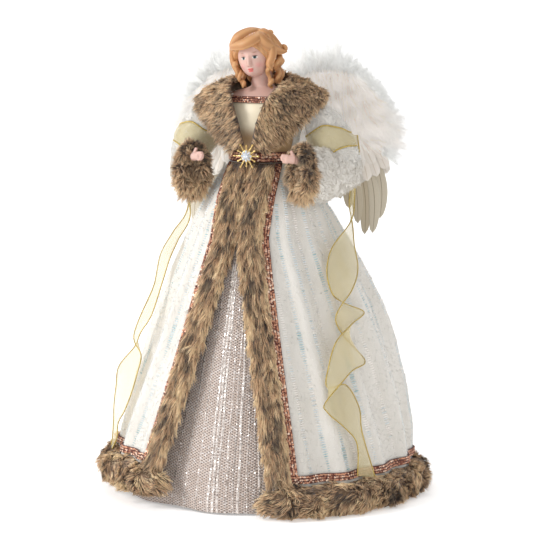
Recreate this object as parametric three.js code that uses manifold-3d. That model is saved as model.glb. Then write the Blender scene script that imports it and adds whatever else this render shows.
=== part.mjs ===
// An angel tree topper: a bisque doll in a fur-trimmed robe with feather wings, on a hollow cone.
// Millimetres, +Z up. The doll faces -Y, its left side is +X, and the origin is under it on the floor.
import * as THREE from "three";
import { mergeVertices } from "three/addons/utils/BufferGeometryUtils.js";
import Module from "manifold-3d";

const wasm = await Module();
wasm.setup();

// Fits
const clearance = 0.3;
const cutOverrun = 2;
const weldDistance = 0.001;

// The card cone that goes over the tree's tip
const coneHeight = 290;
const coneFootSetback = 21;
const coneTopRadius = 24;
const coneWall = 1.5;

// The robe's skirt and the gown under it
const clothThickness = 1.5;
const gownThickness = 1.2;
const hemRadius = 128;
const hemHeight = 10;
const waistDrop = 4;
const waistHeight = coneHeight - waistDrop;
const coneFootRadius = hemRadius - coneFootSetback;
const gownFloorGap = 1;
const gownTopDrop = 1;
const hemFoldDepth = 5;
const gownFoldDepth = 2;
const backTuckShare = 0.075;
const robeFolds = 8;
const gownFolds = 9;

// The robe's front opening
const openingDrop = 65;
const openingTop = coneHeight - openingDrop;
const openingHalfWidth = 49;
const edgeUnderFur = 4;
const foldRampWidth = 14;

// Fur
const frontFurWidth = 20;
const frontFurDepth = 8;
const frontFurWaistShare = 0.7;
const furBedGap = 0.8;
const hemFurTop = 28;
const hemFurDepth = 15;
const collarWidth = 40;
const collarDepth = 11;

// Braid
const braidWidth = 5;
const braidThickness = 1;
const braidGap = 0.5;
const braidLift = 0.7;
const hemBraidBottom = 30;
const beltWidth = 9;
const beltThickness = 1.5;

// The torso, its clothes, the neck and the head
const torsoHalfWidth = 35.5;
const torsoFrontDepth = 29.5;
const torsoBackDepth = 24;
const torsoHeight = 48;
const torsoTop = coneHeight + torsoHeight;
const neckPlateHeight = 13;
const neckTop = torsoTop + neckPlateHeight;
const neckRadius = 9.3;
const chinRise = 11;
const chinHeight = neckTop + chinRise;
const spigotLength = 28;
const satinThickness = 1;
const satinRise = 4;
const satinTop = torsoTop + satinRise;
const robeBodiceRise = 6;
const robeBodiceTop = torsoTop + robeBodiceRise;
const neckPostRadius = 3;
const neckPostLength = 30;
const headWidth = 26;
const headDepth = 31;
const headHeight = 39;
const headForward = 9;
const hairWidth = 42;
const hairDepth = 40;
const hairHeight = 43;
const hairRise = 44;
const hairTop = chinHeight + hairRise;
const headTilt = THREE.MathUtils.degToRad(-8);

// The arms
const wireRadius = 1;
const shoulderReach = 50;
const shoulderDrop = 16;
const shoulderHeight = torsoTop - shoulderDrop;
const shoulderBallRadius = 2.5;
const armLift = THREE.MathUtils.degToRad(15);
const armLiftSpare = THREE.MathUtils.degToRad(2);
const sleevePuffRadius = 17;
const elbowOut = 74;
const elbowBack = 4;
const elbowDrop = 36;
const elbowHeight = shoulderHeight - elbowDrop;
const wristOut = 53;
const wristForward = 34;
const wristDrop = 5;
const wristHeight = elbowHeight - wristDrop;
const forearmRise = 6.2;
const lowerSleeveHalfHeight = 21;
const lowerSleeveHalfWidth = 13;
const cuffHalfHeight = 19;
const cuffHalfWidth = 10.5;
const cuffFurRadius = 6.5;
const stubRadius = 3.4;
const stubLength = 18;
const handLength = 16;
const handWidth = 9;
const handThickness = 6.5;
const fingerRadius = 1.9;

// The brooch
const broochRadius = 13.5;
const broochThickness = 1.4;
const broochRays = 12;
const rayWidth = 1.6;
const rayBallRadius = 1.3;
const broochHubRadius = 4.6;
const stoneRadius = 3.2;
const stoneHeight = 2.4;
const broochPinRadius = 1.5;
const broochStandOff = 12;

// The wings
const wingRaise = 10;
const wingHeight = coneHeight + wingRaise;
const wingBack = 44;
const wingOut = 4;
const wingSpan = 87;
const wingRise = 59;
const wingSweep = THREE.MathUtils.degToRad(12);
const wingLean = THREE.MathUtils.degToRad(-8);
const backingThickness = 2;
const quillThickness = 1.6;
const quillStagger = 0.6;
const quillWidth = 13;
const covertDepth = 8;
const plumeRadius = 8;
const padWidth = 34;
const padHeight = 20;
const padRaise = 26;
const padBottom = coneHeight + padRaise;

// The ribbon
const ribbonThickness = 1;
const ribbonStandOff = 0.7;
const tailHalfWidth = 16;
const tailHalfDepth = 9;
const tailHalfTurns = 3;
const tailStartOut = 69;
const tailHangOut = 82;
const tailHangBack = 15;
const tailStartDrop = 14;
const tailStartHeight = shoulderHeight - tailStartDrop;
const tailEndHeight = 38;
const tailTopAngle = THREE.MathUtils.degToRad(72);
const tailHemAngle = THREE.MathUtils.degToRad(64);
const strapRaise = 8;
const backStrapBottom = coneHeight + strapRaise;
const backStrapWidth = 15;

// Materials: colour, roughness and metalness of each finish
const finishes = {
  card: [0xb59a72, 0.9, 0],
  foam: [0xe9e4d8, 0.9, 0],
  steel: [0x8d8f92, 0.4, 1],
  dowel: [0xc8a878, 0.7, 0],
  bisque: [0xe6c3b4, 0.55, 0],
  satin: [0xe9dcc4, 0.4, 0],
  braid: [0x8a5646, 0.45, 0.3],
  knit: [0xc9b3a6, 0.6, 0.1],
  velvet: [0xe9e8e6, 0.75, 0],
  fur: [0x8b7355, 0.9, 0],
  gold: [0xc9a648, 0.3, 1],
  crystal: [0xf2f4f7, 0.1, 0],
  feather: [0xe6e0d2, 0.8, 0],
  organza: [0xd8cf9e, 0.5, 0],
};

function finish(name) {
  const [color, roughness, metalness] = finishes[name];
  return new THREE.MeshStandardMaterial({ color, roughness, metalness });
}

// Bodies from points

// A geometry from points and triangles, turned so that its faces point out.
function bodyFrom(points, triangles) {
  let volume = 0;
  const cross = new THREE.Vector3();
  for (const [a, b, c] of triangles) volume += cross.crossVectors(points[b], points[c]).dot(points[a]);
  const facing = volume < 0 ? triangles.map(([a, b, c]) => [a, c, b]) : triangles;
  const geometry = new THREE.BufferGeometry();
  const flat = points.flatMap((p) => [p.x, p.y, p.z]);
  geometry.setAttribute("position", new THREE.Float32BufferAttribute(flat, 3));
  geometry.setIndex(facing.flat());
  geometry.computeVertexNormals();
  return geometry;
}

// A body lofted through rings of points. A looped loft closes on itself, and any other gets a fan at each end.
function loft(rings, looped = false) {
  const count = rings[0].length;
  const points = rings.flat();
  const triangles = [];
  const last = looped ? rings.length : rings.length - 1;
  for (let i = 0; i < last; i++) {
    const here = i * count;
    const next = ((i + 1) % rings.length) * count;
    for (let j = 0; j < count; j++) {
      const k = (j + 1) % count;
      triangles.push([here + j, here + k, next + k], [here + j, next + k, next + j]);
    }
  }
  if (!looped) {
    for (const [start, flip] of [[0, true], [(rings.length - 1) * count, false]]) {
      const middle = new THREE.Vector3();
      for (let j = 0; j < count; j++) middle.addScaledVector(points[start + j], 1 / count);
      const centre = points.push(middle) - 1;
      for (let j = 0; j < count; j++) {
        const k = start + ((j + 1) % count);
        triangles.push(flip ? [centre, k, start + j] : [centre, start + j, k]);
      }
    }
  }
  return bodyFrom(points, triangles);
}

// A walled sheet between an outer and an inner grid of points, rimmed all round. A wrapped one closes in its
// rows.
function sheetBody(outer, inner, wrapped) {
  const rows = outer.length;
  const columns = outer[0].length;
  const points = [...outer.flat(), ...inner.flat()];
  const triangles = [];
  const at = (layer, i, j) => layer * rows * columns + i * columns + (j % columns);
  const quad = (a, b, c, d) => triangles.push([a, b, c], [a, c, d]);
  const spans = wrapped ? columns : columns - 1;
  for (let i = 0; i < rows - 1; i++) {
    for (let j = 0; j < spans; j++) {
      quad(at(0, i, j), at(0, i, j + 1), at(0, i + 1, j + 1), at(0, i + 1, j));
      quad(at(1, i, j), at(1, i + 1, j), at(1, i + 1, j + 1), at(1, i, j + 1));
    }
    if (!wrapped) {
      quad(at(0, i, 0), at(0, i + 1, 0), at(1, i + 1, 0), at(1, i, 0));
      quad(at(0, i, spans), at(1, i, spans), at(1, i + 1, spans), at(0, i + 1, spans));
    }
  }
  for (let j = 0; j < spans; j++) {
    const top = rows - 1;
    quad(at(0, 0, j), at(1, 0, j), at(1, 0, j + 1), at(0, 0, j + 1));
    quad(at(0, top, j), at(0, top, j + 1), at(1, top, j + 1), at(1, top, j));
  }
  return bodyFrom(points, triangles);
}

function toSolid(geometry) {
  const bare = geometry.clone();
  bare.deleteAttribute("normal");
  bare.deleteAttribute("uv");
  const merged = mergeVertices(bare, weldDistance);
  const vertProperties = Float32Array.from(merged.attributes.position.array);
  const triVerts = Uint32Array.from(merged.index.array);
  return new wasm.Manifold(new wasm.Mesh({ numProp: 3, vertProperties, triVerts }));
}

function fromSolid(solid) {
  const mesh = solid.getMesh();
  const flat = [];
  for (let i = 0; i < mesh.numVert; i++) {
    const from = i * mesh.numProp;
    flat.push(...mesh.vertProperties.subarray(from, from + 3));
  }
  const geometry = new THREE.BufferGeometry();
  geometry.setAttribute("position", new THREE.Float32BufferAttribute(flat, 3));
  geometry.setIndex(Array.from(mesh.triVerts));
  geometry.computeVertexNormals();
  return geometry;
}

const joined = (geometries) => fromSolid(geometries.map(toSolid).reduce((a, b) => a.add(b)));
const cutBy = (geometry, cutters) => fromSolid(
  cutters.map(toSolid).reduce((a, b) => a.subtract(b), toSolid(geometry)),
);

// The same body on the doll's other side.
function mirrored(geometry) {
  const copy = geometry.clone();
  copy.scale(-1, 1, 1);
  const index = copy.index.array;
  for (let i = 0; i < index.length; i += 3) [index[i + 1], index[i + 2]] = [index[i + 2], index[i + 1]];
  copy.computeVertexNormals();
  return copy;
}

// A round rod between two points.
function rod(from, to, radius, sides = 6) {
  const along = to.clone().sub(from);
  const geometry = new THREE.CylinderGeometry(radius, radius, along.length(), sides);
  const turn = new THREE.Quaternion().setFromUnitVectors(new THREE.Vector3(0, 1, 0), along.clone().normalize());
  geometry.applyQuaternion(turn);
  const middle = from.clone().add(to).multiplyScalar(0.5);
  return geometry.translate(middle.x, middle.y, middle.z);
}

function ball(centre, rx, ry, rz, across = 8, up = 6) {
  return new THREE.SphereGeometry(1, across, up).rotateX(Math.PI / 2).scale(rx, ry, rz)
    .translate(centre.x, centre.y, centre.z);
}

// A ring round a centre, with half sizes along two directions.
function ellipseRing(centre, across, up, halfAcross, halfUp, sides) {
  return Array.from({ length: sides }, (_, k) => {
    const a = (k / sides) * 2 * Math.PI;
    return centre.clone().addScaledVector(across, halfAcross * Math.cos(a))
      .addScaledVector(up, halfUp * Math.sin(a));
  });
}

const lerp = THREE.MathUtils.lerp;
const smoothstep = (x, from, to) => THREE.MathUtils.smoothstep(x, from, to);

// Reads a table of rows [place, value, ...] at a place, straight between its rows and beyond its ends.
function readTable(table, place, column) {
  let i = 1;
  while (i < table.length - 1 && place > table[i][0]) i++;
  const [low, high] = [table[i - 1], table[i]];
  return lerp(low[column], high[column], (place - low[0]) / (high[0] - low[0]));
}

// The skirt's surface

const coneRadiusAt = (z) => lerp(coneFootRadius, coneTopRadius, z / coneHeight);
const waistRadius = coneRadiusAt(waistHeight) + clearance + gownThickness + clearance + clothThickness;

// Height as a share of the way from hem to waist, and radius as a share of the way from waist to hem.
const skirtProfileShares = [
  [0, 1], [0.072, 0.96], [0.181, 0.865], [0.34, 0.735], [0.507, 0.59], [0.67, 0.444], [0.815, 0.3],
  [0.888, 0.212], [0.942, 0.12], [1, 0],
];
const skirtRows = skirtProfileShares.map(([share]) => lerp(hemHeight, waistHeight, share));
const fullnessAt = (z) => readTable(skirtProfileShares, (z - hemHeight) / (waistHeight - hemHeight), 1);
const skirtRadiusAt = (z) => lerp(waistRadius, hemRadius, fullnessAt(z));
const foldDepthAt = (z) => hemFoldDepth * Math.max(0, fullnessAt(z));

// A point on the skirt, by the angle from the front, the height and the distance from the axis. The back is
// flatter.
function skirtPoint(angle, z, radius) {
  const depthScale = Math.cos(angle) < 0 ? 1 - backTuckShare * Math.max(0, fullnessAt(z)) : 1;
  return new THREE.Vector3(radius * Math.sin(angle), -radius * Math.cos(angle) * depthScale, z);
}

// How far the middle of the front fur lies from the centre line, and the angle of the robe's edge under it.
const furCentreAt = (z) => frontFurWidth / 2 + clearance
  + openingHalfWidth * Math.max(0, (openingTop - z) / (openingTop - hemHeight));
const furAngleAt = (z) => Math.asin(furCentreAt(z) / skirtRadiusAt(z));
const edgeAngleAt = (z) => furAngleAt(z) - edgeUnderFur / skirtRadiusAt(z);

// The robe's outer surface, by the share of the way from its front edge to the centre back.
function robePoint(share, z, out) {
  const edge = edgeAngleAt(z);
  const angle = lerp(edge, Math.PI, share);
  const fromEdge = (angle - edge) * skirtRadiusAt(z);
  const free = edgeUnderFur + frontFurWidth / 2 + braidGap + braidWidth;
  const ramp = smoothstep(fromEdge, free, free + foldRampWidth);
  const seam = smoothstep(1 - share, 0, 1 / robeFolds);
  const fold = foldDepthAt(z) * ramp * seam * -Math.cos(2 * Math.PI * robeFolds * share);
  return skirtPoint(angle, z, skirtRadiusAt(z) + fold + out);
}

const robeColumns = 4 * robeFolds;
const backSeamShare = 0.9985;
const robeShares = Array.from({ length: robeColumns + 1 }, (_, j) => (j / robeColumns) * backSeamShare);

// Card, foam and wire inside

function cone() {
  const profile = [
    new THREE.Vector2(coneFootRadius - coneWall, 0),
    new THREE.Vector2(coneFootRadius, 0),
    new THREE.Vector2(coneTopRadius, coneHeight),
    new THREE.Vector2(coneTopRadius - coneWall, coneHeight),
    new THREE.Vector2(coneFootRadius - coneWall, 0),
  ];
  return new THREE.LatheGeometry(profile, 48).rotateX(Math.PI / 2);
}

// Height between the cone's rim and the neck, half width, front depth and back depth, all as shares.
const torsoShares = [
  [0, 0.73, 0.82, 1.03], [0.16, 0.75, 0.84, 1.02], [0.32, 0.82, 0.93, 1.01], [0.49, 0.93, 1, 1],
  [0.66, 1, 0.93, 0.98], [0.787, 0.985, 0.8, 0.92], [0.869, 0.87, 0.65, 0.8], [0.934, 0.57, 0.48, 0.6],
  [1, 0.3, 0.33, 0.42],
];
const torsoShareAt = (z) => (z - coneHeight) / (neckTop - coneHeight);

// A point on the torso, by the angle from the front, the height and the distance out from its surface.
function torsoPoint(angle, z, out) {
  const share = torsoShareAt(z);
  const across = torsoHalfWidth * readTable(torsoShares, share, 1) + out;
  const front = torsoFrontDepth * readTable(torsoShares, share, 2) + out;
  const back = torsoBackDepth * readTable(torsoShares, share, 3) + out;
  const depth = Math.cos(angle) > 0 ? front : back;
  return new THREE.Vector3(across * Math.sin(angle), -depth * Math.cos(angle), z);
}

const torsoSides = 16;
const torsoRows = torsoShares.map(([share]) => lerp(coneHeight, neckTop, share));
const torsoRing = (z, out) => Array.from(
  { length: torsoSides },
  (_, j) => torsoPoint((j / torsoSides) * 2 * Math.PI, z, out),
);
const rowsBetween = (rows, low, high) => [
  low, ...rows.filter((z) => z > low + clearance && z < high - clearance), high,
];

const shoulderPoint = new THREE.Vector3(shoulderReach, 0, shoulderHeight);
const wireHole = () => rod(
  new THREE.Vector3(-shoulderReach, 0, shoulderHeight),
  new THREE.Vector3(shoulderReach, 0, shoulderHeight),
  wireRadius + clearance,
);
const postBottom = torsoTop - neckPostLength / 2;
const neckPostRod = (out) => rod(
  new THREE.Vector3(0, 0, postBottom - out),
  new THREE.Vector3(0, 0, postBottom + neckPostLength + out),
  neckPostRadius + out,
);

function torsoBlock() {
  const seat = coneHeight + clearance;
  const upper = loft(rowsBetween(torsoRows, seat, torsoTop).map((z) => torsoRing(z, 0)));
  const spigotRadius = coneTopRadius - coneWall - clearance;
  const spigot = rod(
    new THREE.Vector3(0, 0, coneHeight - spigotLength),
    new THREE.Vector3(0, 0, seat + cutOverrun),
    spigotRadius,
    32,
  );
  return cutBy(joined([upper, spigot]), [wireHole(), neckPostRod(clearance)]);
}

function shoulderWire() {
  const end = shoulderReach - shoulderBallRadius - clearance;
  return rod(new THREE.Vector3(-end, 0, shoulderHeight), new THREE.Vector3(end, 0, shoulderHeight), wireRadius);
}

// The bisque bust: shoulder plate, neck, head and sculpted hair in one casting

// Each curl's place and size, as shares of the hair's half width, depth and height from the head's middle.
const curlShares = [
  [-0.86, -0.28, -0.1, 0.3], [-0.95, -0.2, -0.5, 0.3], [-0.86, -0.34, -0.86, 0.27], [-0.6, -0.42, -1.16, 0.22],
  [0.88, -0.24, -0.12, 0.34], [1.06, -0.1, -0.5, 0.34], [0.9, -0.3, -0.88, 0.3], [0.66, -0.36, -1.18, 0.24],
  [-0.4, 0.5, -0.8, 0.5], [0.4, 0.5, -0.8, 0.5], [0, 0.62, -0.45, 0.55], [0.62, 0.1, 0.62, 0.26],
];
const headMiddle = new THREE.Vector3(0, -headForward, chinHeight + headHeight / 2);

function headForms() {
  const skull = ball(headMiddle, headWidth / 2, headDepth / 2, headHeight / 2, 14, 10);
  const nose = ball(
    headMiddle.clone().add(new THREE.Vector3(0, -headDepth * 0.49, -headHeight * 0.06)),
    headWidth * 0.07, headDepth * 0.07, headHeight * 0.08, 6, 4,
  );
  const hairMiddle = new THREE.Vector3(0, headDepth * 0.1 - headForward, hairTop - hairHeight / 2);
  const cap = ball(hairMiddle, hairWidth / 2, hairDepth / 2, hairHeight / 2, 14, 10);
  const faceOpening = ball(
    headMiddle.clone().add(new THREE.Vector3(0, -headDepth * 0.56, -headHeight * 0.16)),
    headWidth * 0.49, headDepth * 0.46, headHeight * 0.43, 12, 8,
  );
  const curls = curlShares.map(([x, y, z, size]) => {
    const place = headMiddle.clone().add(
      new THREE.Vector3((x * hairWidth) / 2, (y * hairDepth) / 2, (z * hairHeight) / 2),
    );
    const radius = (size * hairWidth) / 2;
    return ball(place, radius, radius, radius * 1.15, 7, 5);
  });
  return joined([cutBy(cap, [faceOpening]), skull, nose, ...curls]);
}

function bisqueBust() {
  const plateBottom = torsoTop + clearance;
  const plate = loft(rowsBetween(torsoRows, plateBottom, neckTop).map((z) => torsoRing(z, 0)));
  const up = new THREE.Vector3(0, 1, 0);
  const across = new THREE.Vector3(1, 0, 0);
  const neckShares = [0, 0.5, 1];
  const neckBottom = neckTop - cutOverrun;
  const neck = loft(neckShares.map((share) => {
    const height = lerp(neckBottom, chinHeight + headHeight * 0.2, share);
    const centre = new THREE.Vector3(0, -share * headForward * 0.6, height);
    return ellipseRing(centre, across, up, neckRadius, neckRadius, 14);
  }));
  const chin = new THREE.Vector3(0, -headForward, chinHeight);
  const head = headForms().translate(-chin.x, -chin.y, -chin.z).rotateY(headTilt)
    .translate(chin.x, chin.y, chin.z);
  const clothesBelow = loft([robeBodiceTop - cutOverrun * 4, robeBodiceTop].map((z) => torsoRing(z, 0)));
  const casting = joined([plate, neck, head, clothesBelow]);
  const floorCut = new THREE.BoxGeometry(4 * torsoHalfWidth, 4 * torsoHalfWidth, torsoTop)
    .translate(0, 0, plateBottom - torsoTop / 2);
  return cutBy(casting, [floorCut, neckPostRod(clearance)]);
}

// Clothes on the torso

// A fitted layer round the torso between two heights and two distances out. Its arc is centred on the back or
// the front.
function torsoLayer(low, high, near, far, from = 0, to = 2 * Math.PI, columns = torsoSides) {
  const wrapped = to - from > 2 * Math.PI - 1e-6;
  const rows = rowsBetween(torsoRows, low, high);
  const spans = wrapped ? columns : columns + 1;
  const grid = (out) => rows.map((z) => Array.from(
    { length: spans },
    (_, j) => torsoPoint(lerp(from, to, j / columns), z, out),
  ));
  return sheetBody(grid(far), grid(near), wrapped);
}

const satinOut = clearance + satinThickness;
const bodiceBottom = coneHeight + 2 * clearance;
const robeEdgeAngle = THREE.MathUtils.degToRad(45);
const neckBraidAngle = THREE.MathUtils.degToRad(42);
const beltBottom = waistHeight + clearance;
const robeBodiceNear = satinOut + clearance;
const robeBodiceOut = robeBodiceNear + clothThickness;
const beltNear = satinOut + 2 * clearance;

const satinBodice = () => cutBy(torsoLayer(bodiceBottom, satinTop, clearance, satinOut), [wireHole()]);
const neckBraid = () => torsoLayer(
  satinTop - braidWidth, satinTop + clearance,
  satinOut + clearance, satinOut + clearance + braidThickness,
  -neckBraidAngle, neckBraidAngle, 12,
);
const robeBodice = () => cutBy(
  torsoLayer(
    beltBottom + beltWidth + clearance, robeBodiceTop, robeBodiceNear, robeBodiceOut,
    robeEdgeAngle, 2 * Math.PI - robeEdgeAngle, 12,
  ),
  [wireHole()],
);
const beltBraid = () => torsoLayer(beltBottom, beltBottom + beltWidth, beltNear, beltNear + beltThickness);

// Skirts

function gownSkirt() {
  const columns = 4 * gownFolds;
  const bottom = gownFloorGap;
  const top = waistHeight - gownTopDrop;
  const rows = [bottom, ...skirtRows.filter((z, i) => i > 1 && z < top), top];
  const grid = (thickness) => rows.map((z) => Array.from({ length: columns }, (_, j) => {
    const angle = (j / columns) * 2 * Math.PI;
    const own = gownFoldDepth * Math.max(0, fullnessAt(z));
    const setback = clothThickness + clearance + foldDepthAt(z) + own;
    const fold = own * Math.cos(gownFolds * angle);
    return skirtPoint(angle, z, skirtRadiusAt(z) - setback + fold - thickness);
  }));
  return sheetBody(grid(0), grid(gownThickness), true);
}

function robeSkirt() {
  const grid = (out) => skirtRows.map((z) => robeShares.map((share) => robePoint(share, z, out)));
  return sheetBody(grid(0), grid(-clothThickness), false);
}

// Fur and braid on the skirt

// Across a strip of fur: place as a share of its half width, and height as a share of its depth.
const furSectionShares = [
  [-1, 0], [-0.92, 0.45], [-0.55, 0.86], [0, 1], [0.55, 0.86], [0.92, 0.45], [1, 0], [0.5, 0], [-0.5, 0],
];

// A point on the smooth front of the skirt, by the distance across from the middle of the front fur.
function frontPoint(across, z, out) {
  return skirtPoint(furAngleAt(z) + across / skirtRadiusAt(z), z, skirtRadiusAt(z) + out);
}

function frontFur() {
  const rows = rowsBetween(skirtRows, hemFurTop + 2 * clearance + hemFurDepth / 4, waistHeight);
  return loft(rows.map((z) => {
    const opened = smoothstep(waistHeight - z, 0, openingDrop - waistDrop);
    const depth = frontFurDepth * lerp(frontFurWaistShare, 1, opened);
    return furSectionShares.map(([x, h]) => frontPoint((x * frontFurWidth) / 2, z, furBedGap + h * depth));
  }));
}

function frontBraid() {
  const near = frontFurWidth / 2 + braidGap;
  const rows = rowsBetween(skirtRows, hemBraidBottom + braidWidth + clearance, waistHeight);
  const grid = (out) => rows.map((z) => [frontPoint(near, z, out), frontPoint(near + braidWidth, z, out)]);
  return sheetBody(grid(braidLift + braidThickness), grid(braidLift), false);
}

// A point on the robe, straight between the skirt's rows as its facets are.
function robeFacetPoint(share, z, out) {
  let i = 1;
  while (i < skirtRows.length - 1 && z > skirtRows[i]) i++;
  const [low, high] = [skirtRows[i - 1], skirtRows[i]];
  const t = (z - low) / (high - low);
  return robePoint(share, low, out).lerp(robePoint(share, high, out), t);
}

// Round the hem's fur: height as a share of its top, and distance out as a share of its depth.
const hemSectionShares = [
  [0.02, 0], [0.02, 0.5], [0.14, 0.84], [0.45, 1], [0.76, 0.84], [0.97, 0.4], [1, 0], [0.36, 0],
];

function hemFur() {
  const frontShare = -0.055;
  const shares = [frontShare, ...robeShares];
  return loft(shares.map((share, i) => {
    const fullness = i === 0 ? 0.6 : 1;
    return hemSectionShares.map(([up, out]) => {
      const z = Math.max(up * hemFurTop, clearance);
      return robeFacetPoint(share, z, clearance + out * hemFurDepth * fullness);
    });
  }));
}

function hemBraid() {
  const start = frontFurWidth / 2 + edgeUnderFur;
  const first = robeShares.findIndex((share) => share * (Math.PI - edgeAngleAt(hemHeight)) * hemRadius > start);
  const rows = [hemBraidBottom, hemBraidBottom + braidWidth];
  const grid = (out) => rows.map((z) => robeShares.slice(first).map((share) => robeFacetPoint(share, z, out)));
  return sheetBody(grid(clearance + braidThickness), grid(clearance), false);
}

// The shawl collar: angle from the front, reach as a share of the shoulder's, height as a share of the way from
// the belt to the neck, the outward normal's elevation, and shares of the full width and depth.
const collarShares = [
  [180, 0.58, 0.98, 35, 0.74, 0.8], [145, 0.62, 0.97, 45, 0.78, 0.9], [112, 0.74, 0.955, 62, 0.88, 1],
  [84, 0.8, 0.92, 70, 0.96, 1], [60, 0.82, 0.82, 52, 1, 1], [42, 0.79, 0.65, 30, 1, 1],
  [28, 0.77, 0.48, 14, 0.84, 0.95], [20, 0.75, 0.34, 6, 0.6, 0.85], [14, 0.73, 0.22, 0, 0.36, 0.65],
];
const collarBase = beltBottom + beltWidth;

function collarStations() {
  return collarShares.map(([degrees, reach, height, lift, width, depth]) => {
    const angle = THREE.MathUtils.degToRad(degrees);
    const slope = THREE.MathUtils.degToRad(lift);
    const away = new THREE.Vector3(Math.sin(angle), -Math.cos(angle), 0);
    const z = lerp(collarBase, neckTop + clearance, height);
    const centre = away.clone().multiplyScalar(reach * shoulderReach).setZ(z);
    const normal = away.clone().multiplyScalar(Math.cos(slope)).setZ(Math.sin(slope));
    return { centre, normal, width: width * collarWidth, depth: depth * collarDepth };
  });
}

function furCollar() {
  const stations = collarStations();
  const rings = stations.map(({ centre, normal, width, depth }, i) => {
    const before = stations[Math.max(i - 1, 0)].centre;
    const after = stations[Math.min(i + 1, stations.length - 1)].centre;
    const along = i === 0 ? new THREE.Vector3(1, 0, 0) : after.clone().sub(before).normalize();
    const across = new THREE.Vector3().crossVectors(along, normal).normalize();
    const square = new THREE.Vector3().crossVectors(across, along).normalize();
    return ellipseRing(centre, across, square, width / 2, depth / 2, 12);
  });
  const rows = rowsBetween(torsoRows, coneHeight, neckTop);
  const underneath = loft(rows.map((z) => torsoRing(z, robeBodiceOut + clearance)));
  const half = 2 * shoulderReach;
  const otherSide = new THREE.BoxGeometry(half, 2 * half, 2 * half)
    .translate(clearance / 2 - half / 2, 0, neckTop);
  return cutBy(loft(rings), [underneath, otherSide, collarNeckCut()]);
}

// The space that the neck and the hair's back take out of the collar.
function collarNeckCut() {
  const neck = rod(
    new THREE.Vector3(0, -headForward / 2, torsoTop),
    new THREE.Vector3(0, -headForward / 2, chinHeight + headHeight / 2),
    neckRadius + 4 * clearance, 16,
  );
  const chin = new THREE.Vector3(0, -headForward, chinHeight);
  const hair = headForms().translate(-chin.x, -chin.y, -chin.z).scale(1.08, 1.08, 1.04).rotateY(headTilt)
    .translate(chin.x, chin.y, chin.z);
  return joined([neck, hair]);
}

// The arm, made for the doll's left side

const elbow = new THREE.Vector3(elbowOut, elbowBack, elbowHeight);
const wrist = new THREE.Vector3(wristOut, -wristForward, wristHeight);
const armAxis = elbow.clone().sub(shoulderPoint).normalize();
const forearmAxis = wrist.clone().sub(elbow).setZ(0).normalize();
const forearmSide = new THREE.Vector3(-forearmAxis.y, forearmAxis.x, 0);
const upward = new THREE.Vector3(0, 0, 1);

// Along the upper sleeve: place from shoulder to elbow, and radius as a share of the puff's.
const upperSleeveShares = [
  [-0.28, 0.2], [-0.2, 0.52], [0, 0.765], [0.2, 0.94], [0.45, 1], [0.75, 0.96], [1, 0.84], [1.14, 0.55],
  [1.2, 0.2],
];
const upperSide = new THREE.Vector3(0, 1, 0).cross(armAxis).normalize();
const upperFront = new THREE.Vector3().crossVectors(armAxis, upperSide);

function upperSleevePoint(share, angle, out) {
  const radius = sleevePuffRadius * readTable(upperSleeveShares, share, 1) + out;
  return shoulderPoint.clone().lerp(elbow, share)
    .addScaledVector(upperSide, radius * Math.cos(angle))
    .addScaledVector(upperFront, radius * Math.sin(angle));
}

const upperSides = 14;
const upperLoft = (out) => loft(upperSleeveShares.map(([share]) => Array.from(
  { length: upperSides },
  (_, j) => upperSleevePoint(share, (j / upperSides) * 2 * Math.PI, out),
)));

const stubBack = wrist.clone().addScaledVector(forearmAxis, clearance).addScaledVector(upward, forearmRise);

function wirePath(radius, reach) {
  const start = shoulderPoint.clone().addScaledVector(armAxis, -reach);
  const end = stubBack.clone().addScaledVector(forearmAxis, reach);
  return [rod(start, elbow, radius), rod(elbow, end, radius), ball(elbow, radius, radius, radius)];
}

function armWire() {
  const radius = shoulderBallRadius - clearance;
  return joined([...wirePath(wireRadius, -clearance), ball(shoulderPoint, radius, radius, radius)]);
}

const shoulderSocket = () => ball(shoulderPoint, shoulderBallRadius, shoulderBallRadius, shoulderBallRadius);

// The fan of room inside the sleeve that the fixed shoulder wire takes up while the arm lifts.
function liftRoom() {
  const ends = [-armLiftSpare, armLift + armLiftSpare].map((turn) => {
    const inward = new THREE.Vector3(-Math.cos(turn), 0, Math.sin(turn));
    const end = inward.multiplyScalar(shoulderReach).add(shoulderPoint);
    return toSolid(rod(shoulderPoint, end, wireRadius + 4 * clearance));
  });
  return fromSolid(wasm.Manifold.hull(ends));
}

const upperSleeve = () => cutBy(
  upperLoft(0),
  [...wirePath(wireRadius + clearance, cutOverrun), shoulderSocket(), liftRoom()],
);

// Along the lower sleeve: place from elbow to wrist, and half height and half width as shares.
const lowerSleeveShares = [
  [-0.3, 0.35, 0.5], [-0.2, 0.7, 0.85], [0.05, 0.95, 1.05], [0.45, 1, 1], [0.8, 0.92, 0.85], [1, 0.82, 0.72],
];

function lowerSleeve() {
  const rings = lowerSleeveShares.map(([share, tall, wide]) => {
    const sag = (elbowHeight - wristHeight) * 1.4 * (1 - share);
    const centre = elbow.clone().lerp(wrist, share);
    centre.z -= sag;
    const [halfWidth, halfHeight] = [wide * lowerSleeveHalfWidth, tall * lowerSleeveHalfHeight];
    return ellipseRing(centre, forearmSide, upward, halfWidth, halfHeight, 14);
  });
  const bandRoom = upperLoft(ribbonStandOff + ribbonThickness + 3 * clearance);
  return cutBy(loft(rings), [bandRoom, ...wirePath(wireRadius + clearance, cutOverrun)]);
}

const cuffCentre = wrist.clone().addScaledVector(forearmAxis, cuffFurRadius + clearance);

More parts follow.
